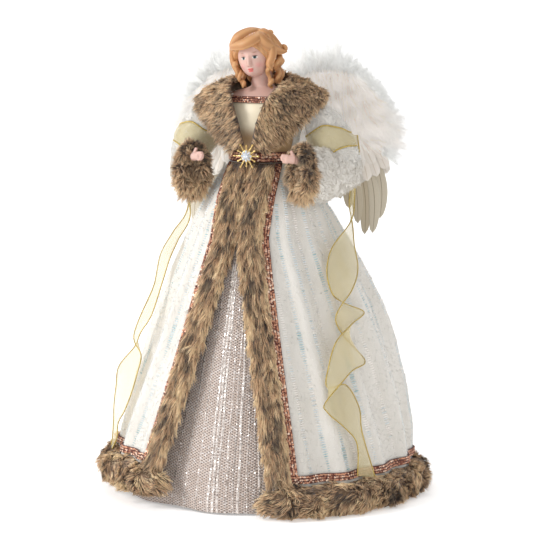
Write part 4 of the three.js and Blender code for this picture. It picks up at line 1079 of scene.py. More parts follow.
def path_rings(path, half_side, half_up, lean_to, around=12, ripple=0.0, ripples=3):
    """Rings round a path: centre + side a cos(t) + up b sin(t), with side = path direction x lean_to. A
    ripple makes the radius wave round the ring."""
    forward = unit(np.gradient(path, axis=0))
    side = unit(np.cross(forward, lean_to))
    up = np.cross(side, forward)
    turn = ring_turn(around)
    wave = 1 + ripple * np.cos(ripples * turn)
    a = (half_side[:, None] * np.cos(turn) * wave)[..., None]
    b = (half_up[:, None] * np.sin(turn) * wave)[..., None]
    return path[:, None] + side[:, None] * a + up[:, None] * b


# %% Shawl collar
COLLAR = np.array([[180, .58, .98, 35, .74, .8], [145, .62, .97, 45, .78, .9], [112, .74, .955, 62, .88, 1],
                   [84, .8, .92, 70, .96, 1], [62, .83, .82, 52, 1, 1], [47, .82, .66, 30, .98, .9],
                   [37, .8, .5, 16, .88, .8], [29, .78, .35, 8, .76, .7], [20, .77, .2, 2, .54, .6],
                   [11, .76, .06, 0, .3, .5]])


def collar_station(u):
    """The collar's values at a share, the way out from the doll's middle, and the section's centre."""
    station = through(COLLAR, u)
    angle = np.radians(station[..., 0])
    away = np.stack([np.sin(angle), -np.cos(angle), np.zeros_like(angle)], -1)
    height = mix(295.3, 351.3, station[..., 2])[..., None]
    return station, away, away * (station[..., 1:2] * 50) + UP * height


def collar_surface(u, v, fill=0.72):
    """The collar's section is an ellipse that runs along its stations: u from the back to the brooch, and v
    round the ellipse."""
    station, away, centre = collar_station(u)
    slope = np.radians(station[..., 3])[..., None]
    normal = away * np.cos(slope) + UP * np.sin(slope)
    along = unit(collar_station(u + 0.01)[2] - centre + np.array([1e-6, 0, 0]))
    across = unit(np.cross(along, normal))
    turn = 2 * np.pi * v
    half_wide, half_deep = station[..., 4] * 20, station[..., 5] * 5.5
    return (centre + across * (half_wide * (0.72 + 0.28 * fill) * np.cos(turn))[..., None]
            + np.cross(across, along) * (half_deep * fill * np.sin(turn))[..., None])


# %% Fur of the collar
COLLAR_HAIRS = 17000
COLLAR_END = 0.985


def collar_part(u, v):
    """The collar's surface, held at its end by the brooch."""
    return collar_surface(np.clip(u, 0, COLLAR_END), v)


roots, along_way, over, u, v, pick = scatter(collar_part, COLLAR_HAIRS, 23)
normal = unit(np.cross(along_way, over))
middle_line = (collar_part(u, np.zeros_like(v)) + collar_part(u, np.full_like(v, 0.5))) / 2
normal = facing(normal, roots - middle_line)
outer_side = (normal * (roots * [1, 1, 0] + 12 * UP)).sum(1) > -8
roots, normal, along_way = (a[outer_side & (roots[:, 0] > 0.3)] for a in (roots, normal, along_way))
in_front = ease(-roots[:, 1], 10, 30)[:, None]
lean = unit(0.5 * normal - 0.3 * UP + 0.3 * along_way + np.array([0.75, 0, 0]) * in_front
            + 0.22 * drift_vector(roots, 14, 120) + pick.normal(0, 0.13, roots.shape))
curl = 0.16 * drift_vector(roots, 8, 130) - 0.18 * UP
length = pick.uniform(3.8, 7, len(roots))
curl, tuft_tone = tufted(roots, lean, curl, length, 4, 0.5, 135)


def collar_strands(points, base):
    """Paler under the collar's edge, with patches, tufts and a spread of hairs."""
    tone = base + 0.16 * drift(points, 17, 140) + 0.24 * tuft_tone + 0.25 * ease(-normal[:, 2], 0.1, 0.9)
    tone = np.clip(tone + pick.normal(0, 0.18, len(points)), 0, 1)
    return pick.uniform(0.22, 0.36, len(points)), tone


def collar_skin(name, flip):
    """The skin of one half, which stops 0.2 mm short of the doll's middle."""
    rings = collar_surface(*share_grid(44, 24, end=COLLAR_END)) * flip
    rings[..., 0] = np.maximum(rings[..., 0] * flip[0], 0.2) * flip[0]
    return lofted_mesh(name, rings)


fur_on_both("fur_collar", (roots, lean, curl, length), collar_strands, (0.47, 0.34),
            collar_skin, 50, place=mirrored)

# %% [markdown]
# ## The arms
# Each sleeve is two soft plush tubes, which meet at the elbow. The hand sits in a ring of long fur, and all
# of it rides on its own arm body, so the arms can lift.

# %% Arm lines
SHOULDER = np.array([50.0, 0, 322])
ELBOW = np.array([74.0, 4, 286])
WRIST = np.array([53.0, -34, 281])
ARM_AXIS = unit(ELBOW - SHOULDER)
FOREARM = unit((WRIST - ELBOW) * [1, 1, 0])
FOREARM_SIDE = np.array([-FOREARM[1], FOREARM[0], 0])
UPPER_SIDE = unit(np.cross([0, 1.0, 0], ARM_AXIS))
UPPER_FRONT = np.cross(ARM_AXIS, UPPER_SIDE)
UPPER = np.array([[-.28, .2], [-.2, .52], [0, .765], [.2, .94], [.45, 1], [.75, .92], [1, .72], [1.14, .44],
                  [1.2, .16]])
LOWER = np.array([[-.3, .3, .4], [-.2, .56, .66], [.05, .8, .84], [.45, .92, .9], [.8, .9, .85],
                  [1, .82, .72]])


def upper_sleeve(share, angle, out):
    """Round the upper arm: a circle across the line from shoulder to elbow, its radius from its table."""
    radius = 17 * np.interp(share, UPPER[:, 0], UPPER[:, 1]) + out
    return (mix(SHOULDER, ELBOW, share[..., None]) + UPPER_SIDE * (radius * np.cos(angle))[..., None]
            + UPPER_FRONT * (radius * np.sin(angle))[..., None])


def lower_sleeve(share, angle, out):
    """Round the forearm: an upright ellipse across the level line from elbow to wrist, sagging at the elbow,
    with a bell that hangs below it towards the wrist."""
    tall, wide = (np.interp(share, LOWER[:, 0], LOWER[:, k]) for k in (1, 2))
    tall = tall * (1 + 0.34 * np.maximum(0, -np.sin(angle)) * ease(share, -0.1, 0.45))
    centre = mix(ELBOW, WRIST, share[..., None]) - UP * (7 * (1 - share))[..., None]
    return (centre + FOREARM_SIDE * ((13 * wide + out) * np.cos(angle))[..., None]
            + UP * ((21 * tall + out) * np.sin(angle))[..., None])


def sleeve_rings(surface, start, end, rings=40, around=48):
    """The sleeve's surface on a fine grid, with a soft swell and dip of about 1 mm."""
    share, angle = np.meshgrid(np.linspace(start, end, rings), ring_turn(around), indexing="ij")
    return surface(share, angle, 1.1 * drift(surface(share, angle, 0), 16, 160) - 0.4)


# %% Stuffing a sleeve
def write_points(shown, points):
    """Puts points in millimetres back into a mesh."""
    shown.data.vertices.foreach_set("co", (points * MM).astype(np.float32).ravel())


def read_points(shown):
    """A mesh's points in millimetres."""
    flat = np.empty(len(shown.data.vertices) * 3, np.float32)
    shown.data.vertices.foreach_get("co", flat)
    return flat.reshape(-1, 3) / MM


def settled(shown):
    """Makes the object's modifiers part of its mesh."""
    done = bpy.data.meshes.new_from_object(shown.evaluated_get(bpy.context.evaluated_depsgraph_get()))
    shown.modifiers.clear()
    shown.data = done
    return shown


def stuffed(shown, cap, limit):
    """Turns a padded piece into cloth and blows it up from inside. The cloth is cut too large by a tenth, so
    it creases. Each point then keeps its way but no more than the cap in millimetres, times its limit."""
    remesh = shown.modifiers.new("even_net", "REMESH")
    remesh.mode, remesh.voxel_size, remesh.use_smooth_shade = "VOXEL", 0.003, True
    settled(shown)
    before = read_points(shown)
    cloth = shown.modifiers.new("cloth", "CLOTH")
    cloth.settings.quality = 6
    cloth.settings.mass = 0.15
    cloth.settings.use_pressure = True
    cloth.settings.uniform_pressure_force = 4
    cloth.settings.shrink_min = -0.12
    cloth.settings.effector_weights.gravity = 0
    cloth.point_cache.frame_start, cloth.point_cache.frame_end = 1, 20
    for frame_number in range(1, 21):
        scene.frame_set(frame_number)
    settled(shown)
    scene.frame_set(1)
    way = read_points(shown) - before
    size = np.linalg.norm(way, axis=1, keepdims=True)
    after = before + way / np.maximum(size, 1e-6) * np.minimum(size, cap * limit(before)[:, None])
    write_points(shown, after)
    shown.modifiers.new("finer", "SUBSURF").levels = 1
    return settled(shown)


def band_edges(angle):
    """The ribbon's two edges along the upper arm by the angle round it: it arches over the front of the arm
    and drops on its outer side, where it is drawn together."""
    drop = ease(-np.degrees(angle), 100, 190)
    return 0.14 + 0.42 * drop, 0.7 + 0.14 * drop


def clear_of_band(points):
    """1 on the puffs, and nearly 0 under the ribbon that ties the upper arm in."""
    away = points - SHOULDER
    share = away @ ARM_AXIS / np.linalg.norm(ELBOW - SHOULDER)
    angle = np.arctan2(away @ UPPER_FRONT, away @ UPPER_SIDE)
    top, bottom = band_edges(np.where(angle > np.radians(82), angle - 2 * np.pi, angle))
    return 0.12 + 0.88 * np.maximum(ease(top - share, -0.08, 0.12), ease(share - bottom, -0.06, 0.14))


# %% Pile of short hairs
def scatter_on(shown, count, seed):
    """Even random places on a mesh: a triangle is picked by its area, and the place in it from two random
    numbers. Returns the points, the triangles' normals and the random source."""
    pick = np.random.default_rng(seed)
    shown.data.calc_loop_triangles()
    corners = np.empty(len(shown.data.loop_triangles) * 3, np.int32)
    shown.data.loop_triangles.foreach_get("vertices", corners)
    a, b, c = (read_points(shown)[corners.reshape(-1, 3)[:, k]] for k in range(3))
    cross = np.cross(b - a, c - a)
    area = np.linalg.norm(cross, axis=1)
    chosen = pick.choice(len(area), count, p=area / area.sum())
    r, s = np.sqrt(pick.random((count, 1))), pick.random((count, 1))
    return (1 - r) * a[chosen] + r * (1 - s) * b[chosen] + r * s * c[chosen], unit(cross[chosen]), pick


def fold_shade_tone(points):
    """Painted shade: darker in the skirt's folds and in the dips between its plush ridges, where the rows of
    sequins lie: 0.58 + f (0.3 (|sin(20 pi s)| - 0.5) - 0.26 cos(16 pi s)), with the fullness f and the share
    s, which is read back from the point's angle."""
    edge = fur_angle(points[:, 2]) - 4 / skirt_radius(points[:, 2])
    share = (np.arctan2(np.abs(points[:, 0]), -points[:, 1]) - edge) / (np.pi - edge)
    full = np.clip(fullness(points[:, 2]), 0, 1)
    rows = np.abs(np.sin(np.pi * ROW_COUNT * share)) - 0.5
    return 0.58 + full * (0.3 * rows - 0.26 * np.cos(16 * np.pi * share))


def pile_on(name, shown, count, seed, length, skirt=False):
    """Short white hairs all over a plush piece, combed downwards a little. A skirt has them outside only,
    and a sleeve has none where it lies against the jacket."""
    roots, normal, pick = scatter_on(shown, count, seed)
    if skirt:
        kept = (normal[:, :2] * roots[:, :2]).sum(1) > 0
    else:
        kept = np.abs(roots[:, 0]) > 44.5
    roots, normal = roots[kept], normal[kept]
    lean = unit(normal - 0.35 * UP + 0.4 * drift_vector(roots, 7, seed) + pick.normal(0, 0.25, roots.shape))
    # A skirt's pile is darkened by painted shade in its folds.
    tone = fold_shade_tone(roots) if skirt else 0.55 + 0.25 * drift(roots, 9, seed)
    tone = np.clip(tone + pick.normal(0, 0.15, len(roots)), 0, 1)
    curl = 0.2 * drift_vector(roots, 5, seed + 5)
    length, width = pick.uniform(0.5, 1, len(roots)) * length, pick.uniform(0.16, 0.3, len(roots))
    return hair_mesh(name, roots, lean, curl, length, width, tone, levels=(0.0,))


# %% Sleeves
SLEEVES = (  # name, surface, its first and last share, how free it is to swell, the finish of its pile
    ("upper_sleeve", upper_sleeve, -0.28, 1.2, clear_of_band, plush_pile),
    ("lower_sleeve", lower_sleeve, -0.3, 1.0, lambda points: np.ones(len(points)), shaded_sleeve_pile),
)
SLEEVE_TRIES, SLEEVE_PILE = 6600, 2.6
for kind, surface, start, end, limit, pile_finish in SLEEVES:
    model = lofted_mesh(f"{kind}_plush_left", sleeve_rings(surface, start, end))
    stuffed(model, 3.2, limit)
    mirror_image = bpy.data.objects.new(f"{kind}_plush_right", model.data.copy())
    scene.collection.objects.link(mirror_image)
    write_points(mirror_image, read_points(model) * [-1, 1, 1])
    mirror_image.data.flip_normals()
    for side, sleeve in (("left", model), ("right", mirror_image)):
        dress(sleeve, f"arm_{side}", "plush", plush, f"{kind}_{side}")
        pile = pile_on(f"{kind}_pile_{side}", sleeve, SLEEVE_TRIES, 165, SLEEVE_PILE)
        dress(pile, f"arm_{side}", "plush", pile_finish)
print("4 sleeve parts,", len(model.data.polygons), "faces in the last")

# %% [markdown]
# The robe's skirt and jacket get the same short pile, so that their edges look soft against the floor.

# %% Pile on the robe
ROBE_PILE = 2.3
PILE_TRIES = {"robe_skirt_cloth_left": 31000, "robe_skirt_cloth_right": 31000, "robe_bodice_cloth": 8000}
for name, tries in PILE_TRIES.items():
    robe = bpy.data.objects[name]
    pile = pile_on(name.replace("cloth", "pile"), robe, tries, 167, ROBE_PILE, skirt=True)
    dress(pile, "root", "plush", plush_pile)
print("pile on 3 pieces")

# %% Fur cuffs
CUFF_CENTRE = WRIST + FOREARM * 6.8


def cuff_surface(u, v, thick=4.4):
    """A ring of fur round the wrist: a tube of the given radius carried round an upright ellipse."""
    a, b = 2 * np.pi * u, 2 * np.pi * v
    out = FOREARM_SIDE * np.cos(a)[..., None] + UP * np.sin(a)[..., None]
    centre = CUFF_CENTRE + FOREARM_SIDE * (9.6 * np.cos(a))[..., None] + UP * (18 * np.sin(a))[..., None]
    return centre + out * (thick * np.cos(b))[..., None] + FOREARM * (thick * np.sin(b))[..., None]


CUFF_HAIRS = 7200
roots, around_ring, over, u, v, pick = scatter(cuff_surface, CUFF_HAIRS, 24)
below = CUFF_CENTRE[2] - roots[:, 2]
normal = facing(np.cross(around_ring, over), roots - cuff_surface(u, v, 0.01))
lean = unit(0.8 * normal + 0.15 * FOREARM + 0.25 * unit(roots - CUFF_CENTRE) - 0.3 * UP
            + 0.45 * drift_vector(roots, 8, 170) + pick.normal(0, 0.13, roots.shape))
curl = 0.2 * drift_vector(roots, 6, 180) - 0.22 * UP
length = pick.uniform(4.5, 8, len(roots)) * (0.85 + 0.3 * ease(below, -5, 20))
curl, tuft_tone = tufted(roots, lean, curl, length, 4, 0.55, 185)


def cuff_strands(points, base):
    """Tan below and dark above, with patches, tufts and a spread of hairs."""
    tone = base + 0.4 * ease(below, -4, 20) + 0.18 * drift(points, 14, 190) + 0.24 * tuft_tone
    tone = np.clip(tone + pick.normal(0, 0.16, len(points)), 0, 1)
    return pick.uniform(0.24, 0.42, len(points)), tone


def cuff_skin(name, flip):
    """The ring under one cuff's hairs."""
    return lofted_mesh(name, cuff_surface(*share_grid(48, 14, looped=True)) * flip, looped=True)


fur_on_both("fur_cuff", (roots, lean, curl, length), cuff_strands, (0.28, 0.28),
            cuff_skin, 50, body="arm", place=mirrored)

# %% Fur inside the cuffs
LINING_TRIES = 2600
LINING = np.array([[-4.0, 1.0], [-1.0, 1.0], [0.6, 0.9], [1.6, 0.65], [2.1, 0.35], [2.2, 0.08]])
ahead, size = LINING[:, :1], LINING[:, 1:]
turn = ring_turn(30)[None, :]
wide, tall = 7.5 * size * np.cos(turn), 16 * size * np.sin(turn)
lining = (CUFF_CENTRE + FOREARM * (ahead + 0 * turn)[..., None] + FOREARM_SIDE * wide[..., None]
          + UP * tall[..., None])
for side, flip in BOTH_SIDES:
    plug = lofted_mesh(f"fur_cuff_lining_{side}", lining * flip)
    dress(plug, f"arm_{side}", "brown_fur", fur_skin)
    roots, normal, pick = scatter_on(plug, LINING_TRIES, 171)
    facing_out = normal @ (FOREARM * flip) > 0.2
    roots, normal = roots[facing_out], normal[facing_out]
    away = unit(roots - CUFF_CENTRE * flip)
    lean = unit(0.5 * normal + 0.5 * away - 0.4 * UP + 0.4 * drift_vector(roots, 5, 172))
    length, width = pick.uniform(3, 5.5, len(roots)), pick.uniform(0.24, 0.4, len(roots))
    tone = np.clip(pick.normal(0.25, 0.15, len(roots)), 0, 1)
    hairs = hair_mesh(f"fur_cuff_inner_hair_{side}", roots, lean, 0.2 * drift_vector(roots, 5, 173),
                      length, width, tone)
    dress(hairs, f"arm_{side}", "brown_fur", brown_fur)
print("lined the cuffs")

# %% [markdown]
# ## The bisque head
# Bisque is unglazed porcelain: matte, a little translucent, tinted by hand. The head is an egg whose rings
# shrink towards the crown and the chin. Soft hills and hollows make the features, and the colours of the
# eyes, cheeks and lips are painted spots in the head's own place, turned with it by a Mapping node. Two more
# spots, beside the nose and under the lower lip, are painted shade.

# %% Head and neck
TILT = math.radians(-8)
CHIN = np.array([0, -9.0, 362.0])
HEAD = np.array([0, -9.0, 381.5])
HEAD_MOVE = np.array([-1.8, 0, -3.5])
HALF_WIDE, HALF_DEEP, HALF_TALL = 14, 15.5, 19.5


def tilted(points):
    """Turned about the chin: x' = x cos t + z sin t and z' = z cos t - x sin t, and then moved."""
    p = points - CHIN
    x = p[..., 0] * math.cos(TILT) + p[..., 2] * math.sin(TILT)
    z = p[..., 2] * math.cos(TILT) - p[..., 0] * math.sin(TILT)
    return np.stack([x, p[..., 1], z], -1) + CHIN + HEAD_MOVE


# Hills and hollows of the face: across, height from the head's middle, half width, half height, out
FEATURES = (
    (5.3, -2.6, 3.1, 2.3, -1.6), (5.2, -3.0, 2.1, 1.4, 1.1), (5.6, 0.6, 3.3, 1.2, 0.5),
    (7.4, -9.6, 3.4, 3.0, 0.8), (1.7, -9.3, 0.9, 0.8, 0.7), (1.3, -12.4, 1.5, 0.6, 0.65),
    (0.9, -14.1, 1.5, 0.65, 0.7), (1.6, -13.2, 2.0, 0.3, -0.5),
)


def face_relief(x, z):
    """The sum of the hills h exp(-(dx/a)^2 - (dz/b)^2), on both sides, with a nose that grows down its bridge
    and drops away under its tip, and a round chin."""
    relief = np.zeros_like(x)
    for place, height, half_wide, half_high, out in FEATURES:
        for side in (-1, 1):
            off_x, off_z = (x - side * place) / half_wide, (z - height) / half_high
            relief = relief + out * np.exp(-off_x ** 2 - off_z ** 2)
    bridge = np.clip((-0.5 - z) / 8.2, 0, 1) ** 0.9 * (1 - ease(-z, 8.9, 10.4))
    nose = (0.5 + 2.7 * bridge) * np.exp(-(x / (1.2 + 0.7 * bridge)) ** 2)
    relief = relief + nose * ease(-z, -2, 1) * (1 - ease(-z, 9.6, 10.6))
    return relief + 1.3 * np.exp(-(x / 3.6) ** 2 - ((z + 17.0) / 2.4) ** 2)


# %% Rings of the head and the shoulder plate
def head_rings(rings=96, around=124):
    """Rings from under the chin to the crown, each an ellipse with its own width and depth, which are
    half sizes times (1 - |rise|^p)^(1/p)."""
    rise = np.sin(np.linspace(-math.pi / 2 + 0.03, math.pi / 2 - 0.03, rings))[:, None]
    turn = ring_turn(around)[None, :]
    low = ease(-rise, 0.15, 0.95)
    power = 2.1 + 1.0 * low
    wide = HALF_WIDE * (1 - np.abs(rise) ** 2.5) ** (1 / 2.5) * (1 - 0.1 * low)
    front = HALF_DEEP * (1 - np.abs(rise) ** power) ** (1 / power)
    behind = HALF_DEEP * np.sqrt(1 - rise ** 2)
    x = wide * np.sin(turn)
    deep = np.where(np.cos(turn) > 0, front, behind)
    z = HALF_TALL * rise + 0 * turn
    y = -deep * np.cos(turn) - face_relief(x, z) * ease(np.cos(turn), 0.15, 0.5)
    return np.stack([x, y, z], -1) + HEAD


def plate_rings(rings=34, around=72):
    """The shoulder plate's rings, which turn from the torso's ellipse into the round neck as they rise."""
    z = np.concatenate([np.linspace(338.5, 351, 18), np.linspace(351.8, 371, rings - 18)])[:, None]
    turn = ring_turn(around)[None, :]
    flat = torso_point(turn, np.minimum(z, 350.9), 0) * [1, 1, 0] + z[..., None] * UP
    share = np.clip((z - 349) / 21, 0, 1)
    neck_radius = mix(9.6, 8.4, ease(z, 350, 362))
    neck = np.stack([neck_radius * np.sin(turn), -neck_radius * np.cos(turn) - 5.4 * share, z + 0 * turn], -1)
    return mix(flat, neck, ease(z, 345.5, 352.5)[..., None])


# %% Group: painted spot
spot, given, put_out = open_group(
    "painted_spot",
    [("Vector", "vector", None), ("Centre", "vector", (0.0, 0.0, 0.0)),
     ("Half Size", "vector", (1.0, 1.0, 1.0)), ("Edge", "value", 0.5)],
    [("Mask", "value")])
away = vector_calc(spot, "SUBTRACT", given["Vector"], given["Centre"])[0]
share_out = vector_calc(spot, "DIVIDE", away, given["Half Size"])[0]
reach = vector_calc(spot, "LENGTH", share_out)["Value"]
spot.links.new(spread(spot, reach, given["Edge"], 1.0, 1.0, 0.0), put_out["Mask"])

# %% Painted bisque
SPOTS = [  # across, height from the head's middle, half width, half height, edge, strength, screen colour
    (8.0, -9.8, 5.0, 4.2, 0.0, 0.5, (222, 122, 122)), (5.4, 0.0, 3.8, 1.9, 0.0, 0.4, (196, 132, 122)),
    # The first spot on this line, down each side of the nose, is painted shade.
    (2.3, -6.5, 1.0, 3.6, 0.0, 0.45, (184, 128, 116)), (5.3, -2.9, 2.6, 1.2, 0.8, 0.75, (226, 224, 220)),
    (5.1, -2.7, 1.5, 1.4, 0.75, 1.0, (70, 94, 96)), (5.1, -2.7, 0.85, 0.9, 0.7, 1.0, (24, 30, 32)),
    (5.3, -1.6, 3.1, 0.75, 0.35, 0.95, (72, 52, 46)), (5.3, -4.0, 2.3, 0.3, 0.2, 0.5, (150, 100, 90)),
    (5.8, 1.5, 3.3, 0.8, 0.0, 0.75, (150, 102, 72)), (1.3, -9.9, 0.8, 0.45, 0.2, 0.7, (150, 84, 76)),
    (1.0, -12.4, 2.1, 0.9, 0.55, 0.95, (208, 92, 88)), (0.7, -14.1, 1.9, 1.0, 0.55, 0.95, (218, 108, 102)),
    (0.9, -13.2, 2.4, 0.26, 0.2, 0.85, (128, 52, 50)), (0.5, -16.0, 2.2, 0.6, 0.0, 0.35, (190, 128, 116)),
# The last spot, under the lower lip, is painted shade.
]
PAINT_DEPTH = (-24 * MM, 11 * MM)  # middle and half depth of every spot, which covers the face's front
bisque, tree, shader = start_finish("bisque_skin", roughness=0.52, subsurface_weight=0.12,
                                    subsurface_scale=0.002, subsurface_radius=(1.0, 0.45, 0.3))
pivot = CHIN * MM
tilt_turn = np.array([[math.cos(TILT), 0, math.sin(TILT)], [0, 1, 0], [-math.sin(TILT), 0, math.cos(TILT)]])
in_head = place_node(tree, "ShaderNodeMapping", {
    "Vector": place_on(tree), "Rotation": (0, TILT, 0),
    "Location": tuple(pivot - tilt_turn @ pivot + HEAD_MOVE * MM)}, vector_type="TEXTURE").outputs["Vector"]
mask, height = add_grain(tree, 1500.0)
colour = blended(tree, mask, shade(206, 166, 153), shade(222, 186, 173))
for across, rise, half_wide, half_high, edge, strength, paint in SPOTS:
    for side in (-1, 1):
        spot_mask = place_group(tree, spot, {
            "Vector": in_head, "Edge": edge,
            "Centre": (side * across * MM, PAINT_DEPTH[0], (HEAD[2] + rise) * MM),
            "Half Size": (half_wide * MM, PAINT_DEPTH[1], half_high * MM)})["Mask"]
        colour = blended(tree, calc(tree, "MULTIPLY", spot_mask, strength), colour, shade(*paint))
feed(tree, shader, colour, height, 0.0001, 0.4)

head = lofted_mesh("bisque_head", tilted(head_rings()))
dress(head, "root", "bisque", bisque, "bisque_bust")
plate = lofted_mesh("bisque_shoulders", plate_rings())
dress(plate, "root", "bisque", bisque)
print("head", [round(x, 1) for x in np.ptp(head_rings().reshape(-1, 3), axis=0)], "mm")

# %% [markdown]
# ## Sculpted hair
# The hair is cast with the head and painted caramel. A combed cap is drawn in behind the face, and locks lie
# over it as flattened tubes with grooved sides. Ringlets are tubes wound round a line that hangs down.

# %% Hair finish and cap
hair, tree, shader = start_finish("painted_hair", roughness=0.5, subsurface_weight=0.08,
                                  subsurface_scale=0.0015)
mask, height = add_grain(tree, 900.0)
caramel = blended(tree, mask, shade(196, 142, 92), shade(216, 166, 116))
in_groove = calc(tree, "MULTIPLY", read_mark(tree, "groove"), 0.6)
feed(tree, shader, blended(tree, in_groove, caramel, shade(160, 104, 58)), height, 0.00012, 0.4)

HAIR_MIDDLE = np.array([0, -5.9, 384.5])
HAIR_HALF = np.array([19.8, 19.0, 17.2])


def cap_rings(rings=80, around=120):
    """The cap: an ellipsoid combed into fine grooves, drawn in to 70% of its radius in the face's oval."""
    rise = np.linspace(-1.25, math.pi / 2 - 0.04, rings)[:, None]
    turn = ring_turn(around)[None, :]
    way = np.stack([np.cos(rise) * np.sin(turn), -np.cos(rise) * np.cos(turn), np.sin(rise) + 0 * turn], -1)
    comb = np.cos(30 * turn + 3 * np.sin(2.5 * rise) * np.sin(turn))
    plain = HAIR_MIDDLE + way * HAIR_HALF
    oval = ((plain[..., 0] + 1.5) / 14.2) ** 2 + ((plain[..., 2] - HEAD[2] + 6.2) / 13.2) ** 2
    face = (1 - ease(oval, 0.8, 1.15)) * ease(np.cos(turn), 0.1, 0.35)
    size = (1 + 0.012 * comb) * mix(1.0, 0.7, face)
    return HAIR_MIDDLE + way * HAIR_HALF * size[..., None], np.clip(0.5 - 0.5 * comb, 0, 1) * 0.6 + 0.4 * face


rings, groove = cap_rings()
cap = lofted_mesh("hair_cap", tilted(rings), marks={"groove": groove})
dress(cap, "root", "bisque", hair)


# %% Several tubes in one mesh
def gather_lofts(name, tubes, grooves=()):
    """Several closed tubes in one mesh, each from its rings. Groove values can mark the points of all."""
    points, quads, triangles, first = [], [], [], 0
    for rings in tubes:
        tube_quads, _, _, ends = tube_faces(*rings.shape[:2])
        quads.append(tube_quads + first)
        triangles.append(ends + first)
        points += [rings.reshape(-1, 3), [rings[0].mean(0), rings[-1].mean(0)]]
        first += rings.shape[0] * rings.shape[1] + 2
    marks = [np.append(groove, groove[[0, -1], 0]) for groove in grooves]
    return put_mesh(name, np.concatenate(points), np.concatenate(quads), np.concatenate(triangles),
                    marks={"groove": np.concatenate(marks)} if marks else None)


# %% Locks and ringlets
def ringed(groove, steps):
    """One ring's groove values, between 0 and 1, for each of a tube's rings."""
    return np.tile(np.clip(groove, 0, 1), (steps, 1))


def lock(knots, half_side, half_up, lean_to, steps=26, around=15, ripple=0.1, ripples=5):
    """A combed lock through its knots, thickest a third of the way along and drawn out to a point."""
    t = np.linspace(0, 1, steps)
    swell = np.sin(np.pi * np.clip(t, 0.02, 0.985) ** 0.75) ** 0.55
    rings = path_rings(through(knots, t), half_side * swell, half_up * swell, lean_to, around,
                       ripple, ripples)
    return rings, ringed(0.5 - 0.6 * np.cos(ripples * ring_turn(around)), steps)


def ringlet(top, bottom, coil, tube, turns, start=0.0, steps=56, around=10):
    """A tube wound round the line from top to bottom, which narrows towards its end."""
    top, bottom = np.array(top, float), np.array(bottom, float)
    t = np.linspace(0, 1, steps)
    axis = unit(bottom - top)
    side = unit(np.cross(axis, [0.3, 1, 0.2]))
    turn = (start + 2 * np.pi * turns * t)[:, None]
    round_it = np.cos(turn) * side + np.sin(turn) * np.cross(axis, side)
    path = mix(top, bottom, t[:, None]) + coil * (1 - 0.45 * t)[:, None] * round_it
    thick = tube * (1 - 0.5 * t) * np.clip(np.sin(np.pi * np.clip(t, 0.03, 0.97)) * 4, 0, 1)
    groove = ringed(0.35 - 0.5 * np.cos(ring_turn(around)), steps)
    return path_rings(path, thick, thick, axis + 0.01, around), groove


def dome_way(turn, drops, wave, phase):
    """Knots of a lock that falls over the cap: at an angle from the front, from the crown to the nape."""
    drop = np.radians(drops)
    turn = np.radians(turn) + wave * np.sin(2.3 * drop + phase)
    way = np.stack([np.sin(drop) * np.sin(turn), -np.sin(drop) * np.cos(turn), np.cos(drop)], -1)
    return HAIR_MIDDLE + way * (HAIR_HALF + 0.2)


# %% Hair in place
FRINGE = (  # each lock's width and its knots
    (5.2, ((14, -4, 397), (11, -16, 396.5), (6, -23.0, 393.8), (-2, -25.4, 391.0), (-10, -22.8, 390.4),
           (-16.5, -16.5, 389.5), (-19.5, -11, 385))),
    (5.0, ((8, -3, 400.5), (0, -13, 400.5), (-10, -17.5, 397), (-17.5, -12.5, 391.5), (-20.5, -7, 384))),
    (5.0, ((6, -9, 399), (9.5, -18.5, 396), (14.5, -18.5, 389.5), (19, -13.5, 384.5), (23.5, -8, 381),
           (28, -4, 380))),
    (4.8, ((4, -5, 399.5), (11, -11, 398), (17, -9.5, 391.5), (21, -5, 385.5), (24.5, 0, 381.5))),
    (2.8, ((-15, -15, 390), (-18, -13, 385), (-18.5, -13, 378), (-16.5, -14.5, 372), (-15, -15.5, 367),
           (-16.5, -13, 363))),
    (4.2, ((13, -18.5, 391), (18, -15, 384), (17.5, -15.5, 377), (15, -17, 371), (16.5, -15, 365))),
)
locks = []
for k, turn in enumerate(np.linspace(66, 294, 13)):
    knots = dome_way(turn, np.array([14, 34, 56, 80, 102, 118]), 0.1, 1.7 * k)
    away = np.array([math.sin(math.radians(turn)), -math.cos(math.radians(turn)), 0.4])
    locks.append(lock(knots, 4.3, 2.3, away))
for wide, knots in FRINGE:
    locks.append(lock(knots, wide, 3.0, np.array([0.0, -1, 0.55]), steps=34, ripple=0.06, ripples=4))
RINGLETS = [  # top, bottom, radius of the coil, radius of the tube, turns
    ((-16.5, -13.5, 377), (-12.5, -15.5, 359), 1.9, 2.8, 1.6),
    ((-18.5, -6, 378), (-16.5, -8, 358), 2.0, 3.0, 1.8),
    ((16, -13, 378), (11.5, -15.5, 356), 2.0, 2.9, 1.7), ((19.5, -6, 379), (17.5, -8, 354), 2.2, 3.1, 1.9),
    ((18, 2, 375), (17, 1, 352), 2.2, 3.2, 1.8), ((-18, 2, 375), (-16.5, 1, 354), 2.1, 3.1, 1.8),
    ((12, 9, 372), (12, 10, 353), 2.3, 3.2, 1.7), ((-12, 9, 372), (-12, 10, 353), 2.3, 3.2, 1.7),
    ((5, 12, 371), (5, 13, 352), 2.3, 3.2, 1.7), ((-5, 12, 371), (-5, 13, 353), 2.3, 3.2, 1.7),
    ((13, -8, 400), (17, -5, 396.5), 1.6, 2.6, 1.1), ((22, -4, 385), (26.5, -1, 381.5), 2.0, 3.2, 1.0),
    ((-11.5, -17, 360), (-9.5, -18, 354.5), 1.2, 2.5, 1.0),
    ((13.5, -15, 358), (13.5, -15, 350.5), 1.4, 2.4, 1.2),
]
for k, (top, bottom, coil, tube, turns) in enumerate(RINGLETS):
    locks.append(ringlet(top, bottom, coil, tube, turns, start=1.3 * k))
tubes, grooves = zip(*locks)
tresses = gather_lofts("hair_locks", [tilted(rings) for rings in tubes], grooves)
dress(tresses, "root", "bisque", hair)
print(len(locks), "locks and ringlets")


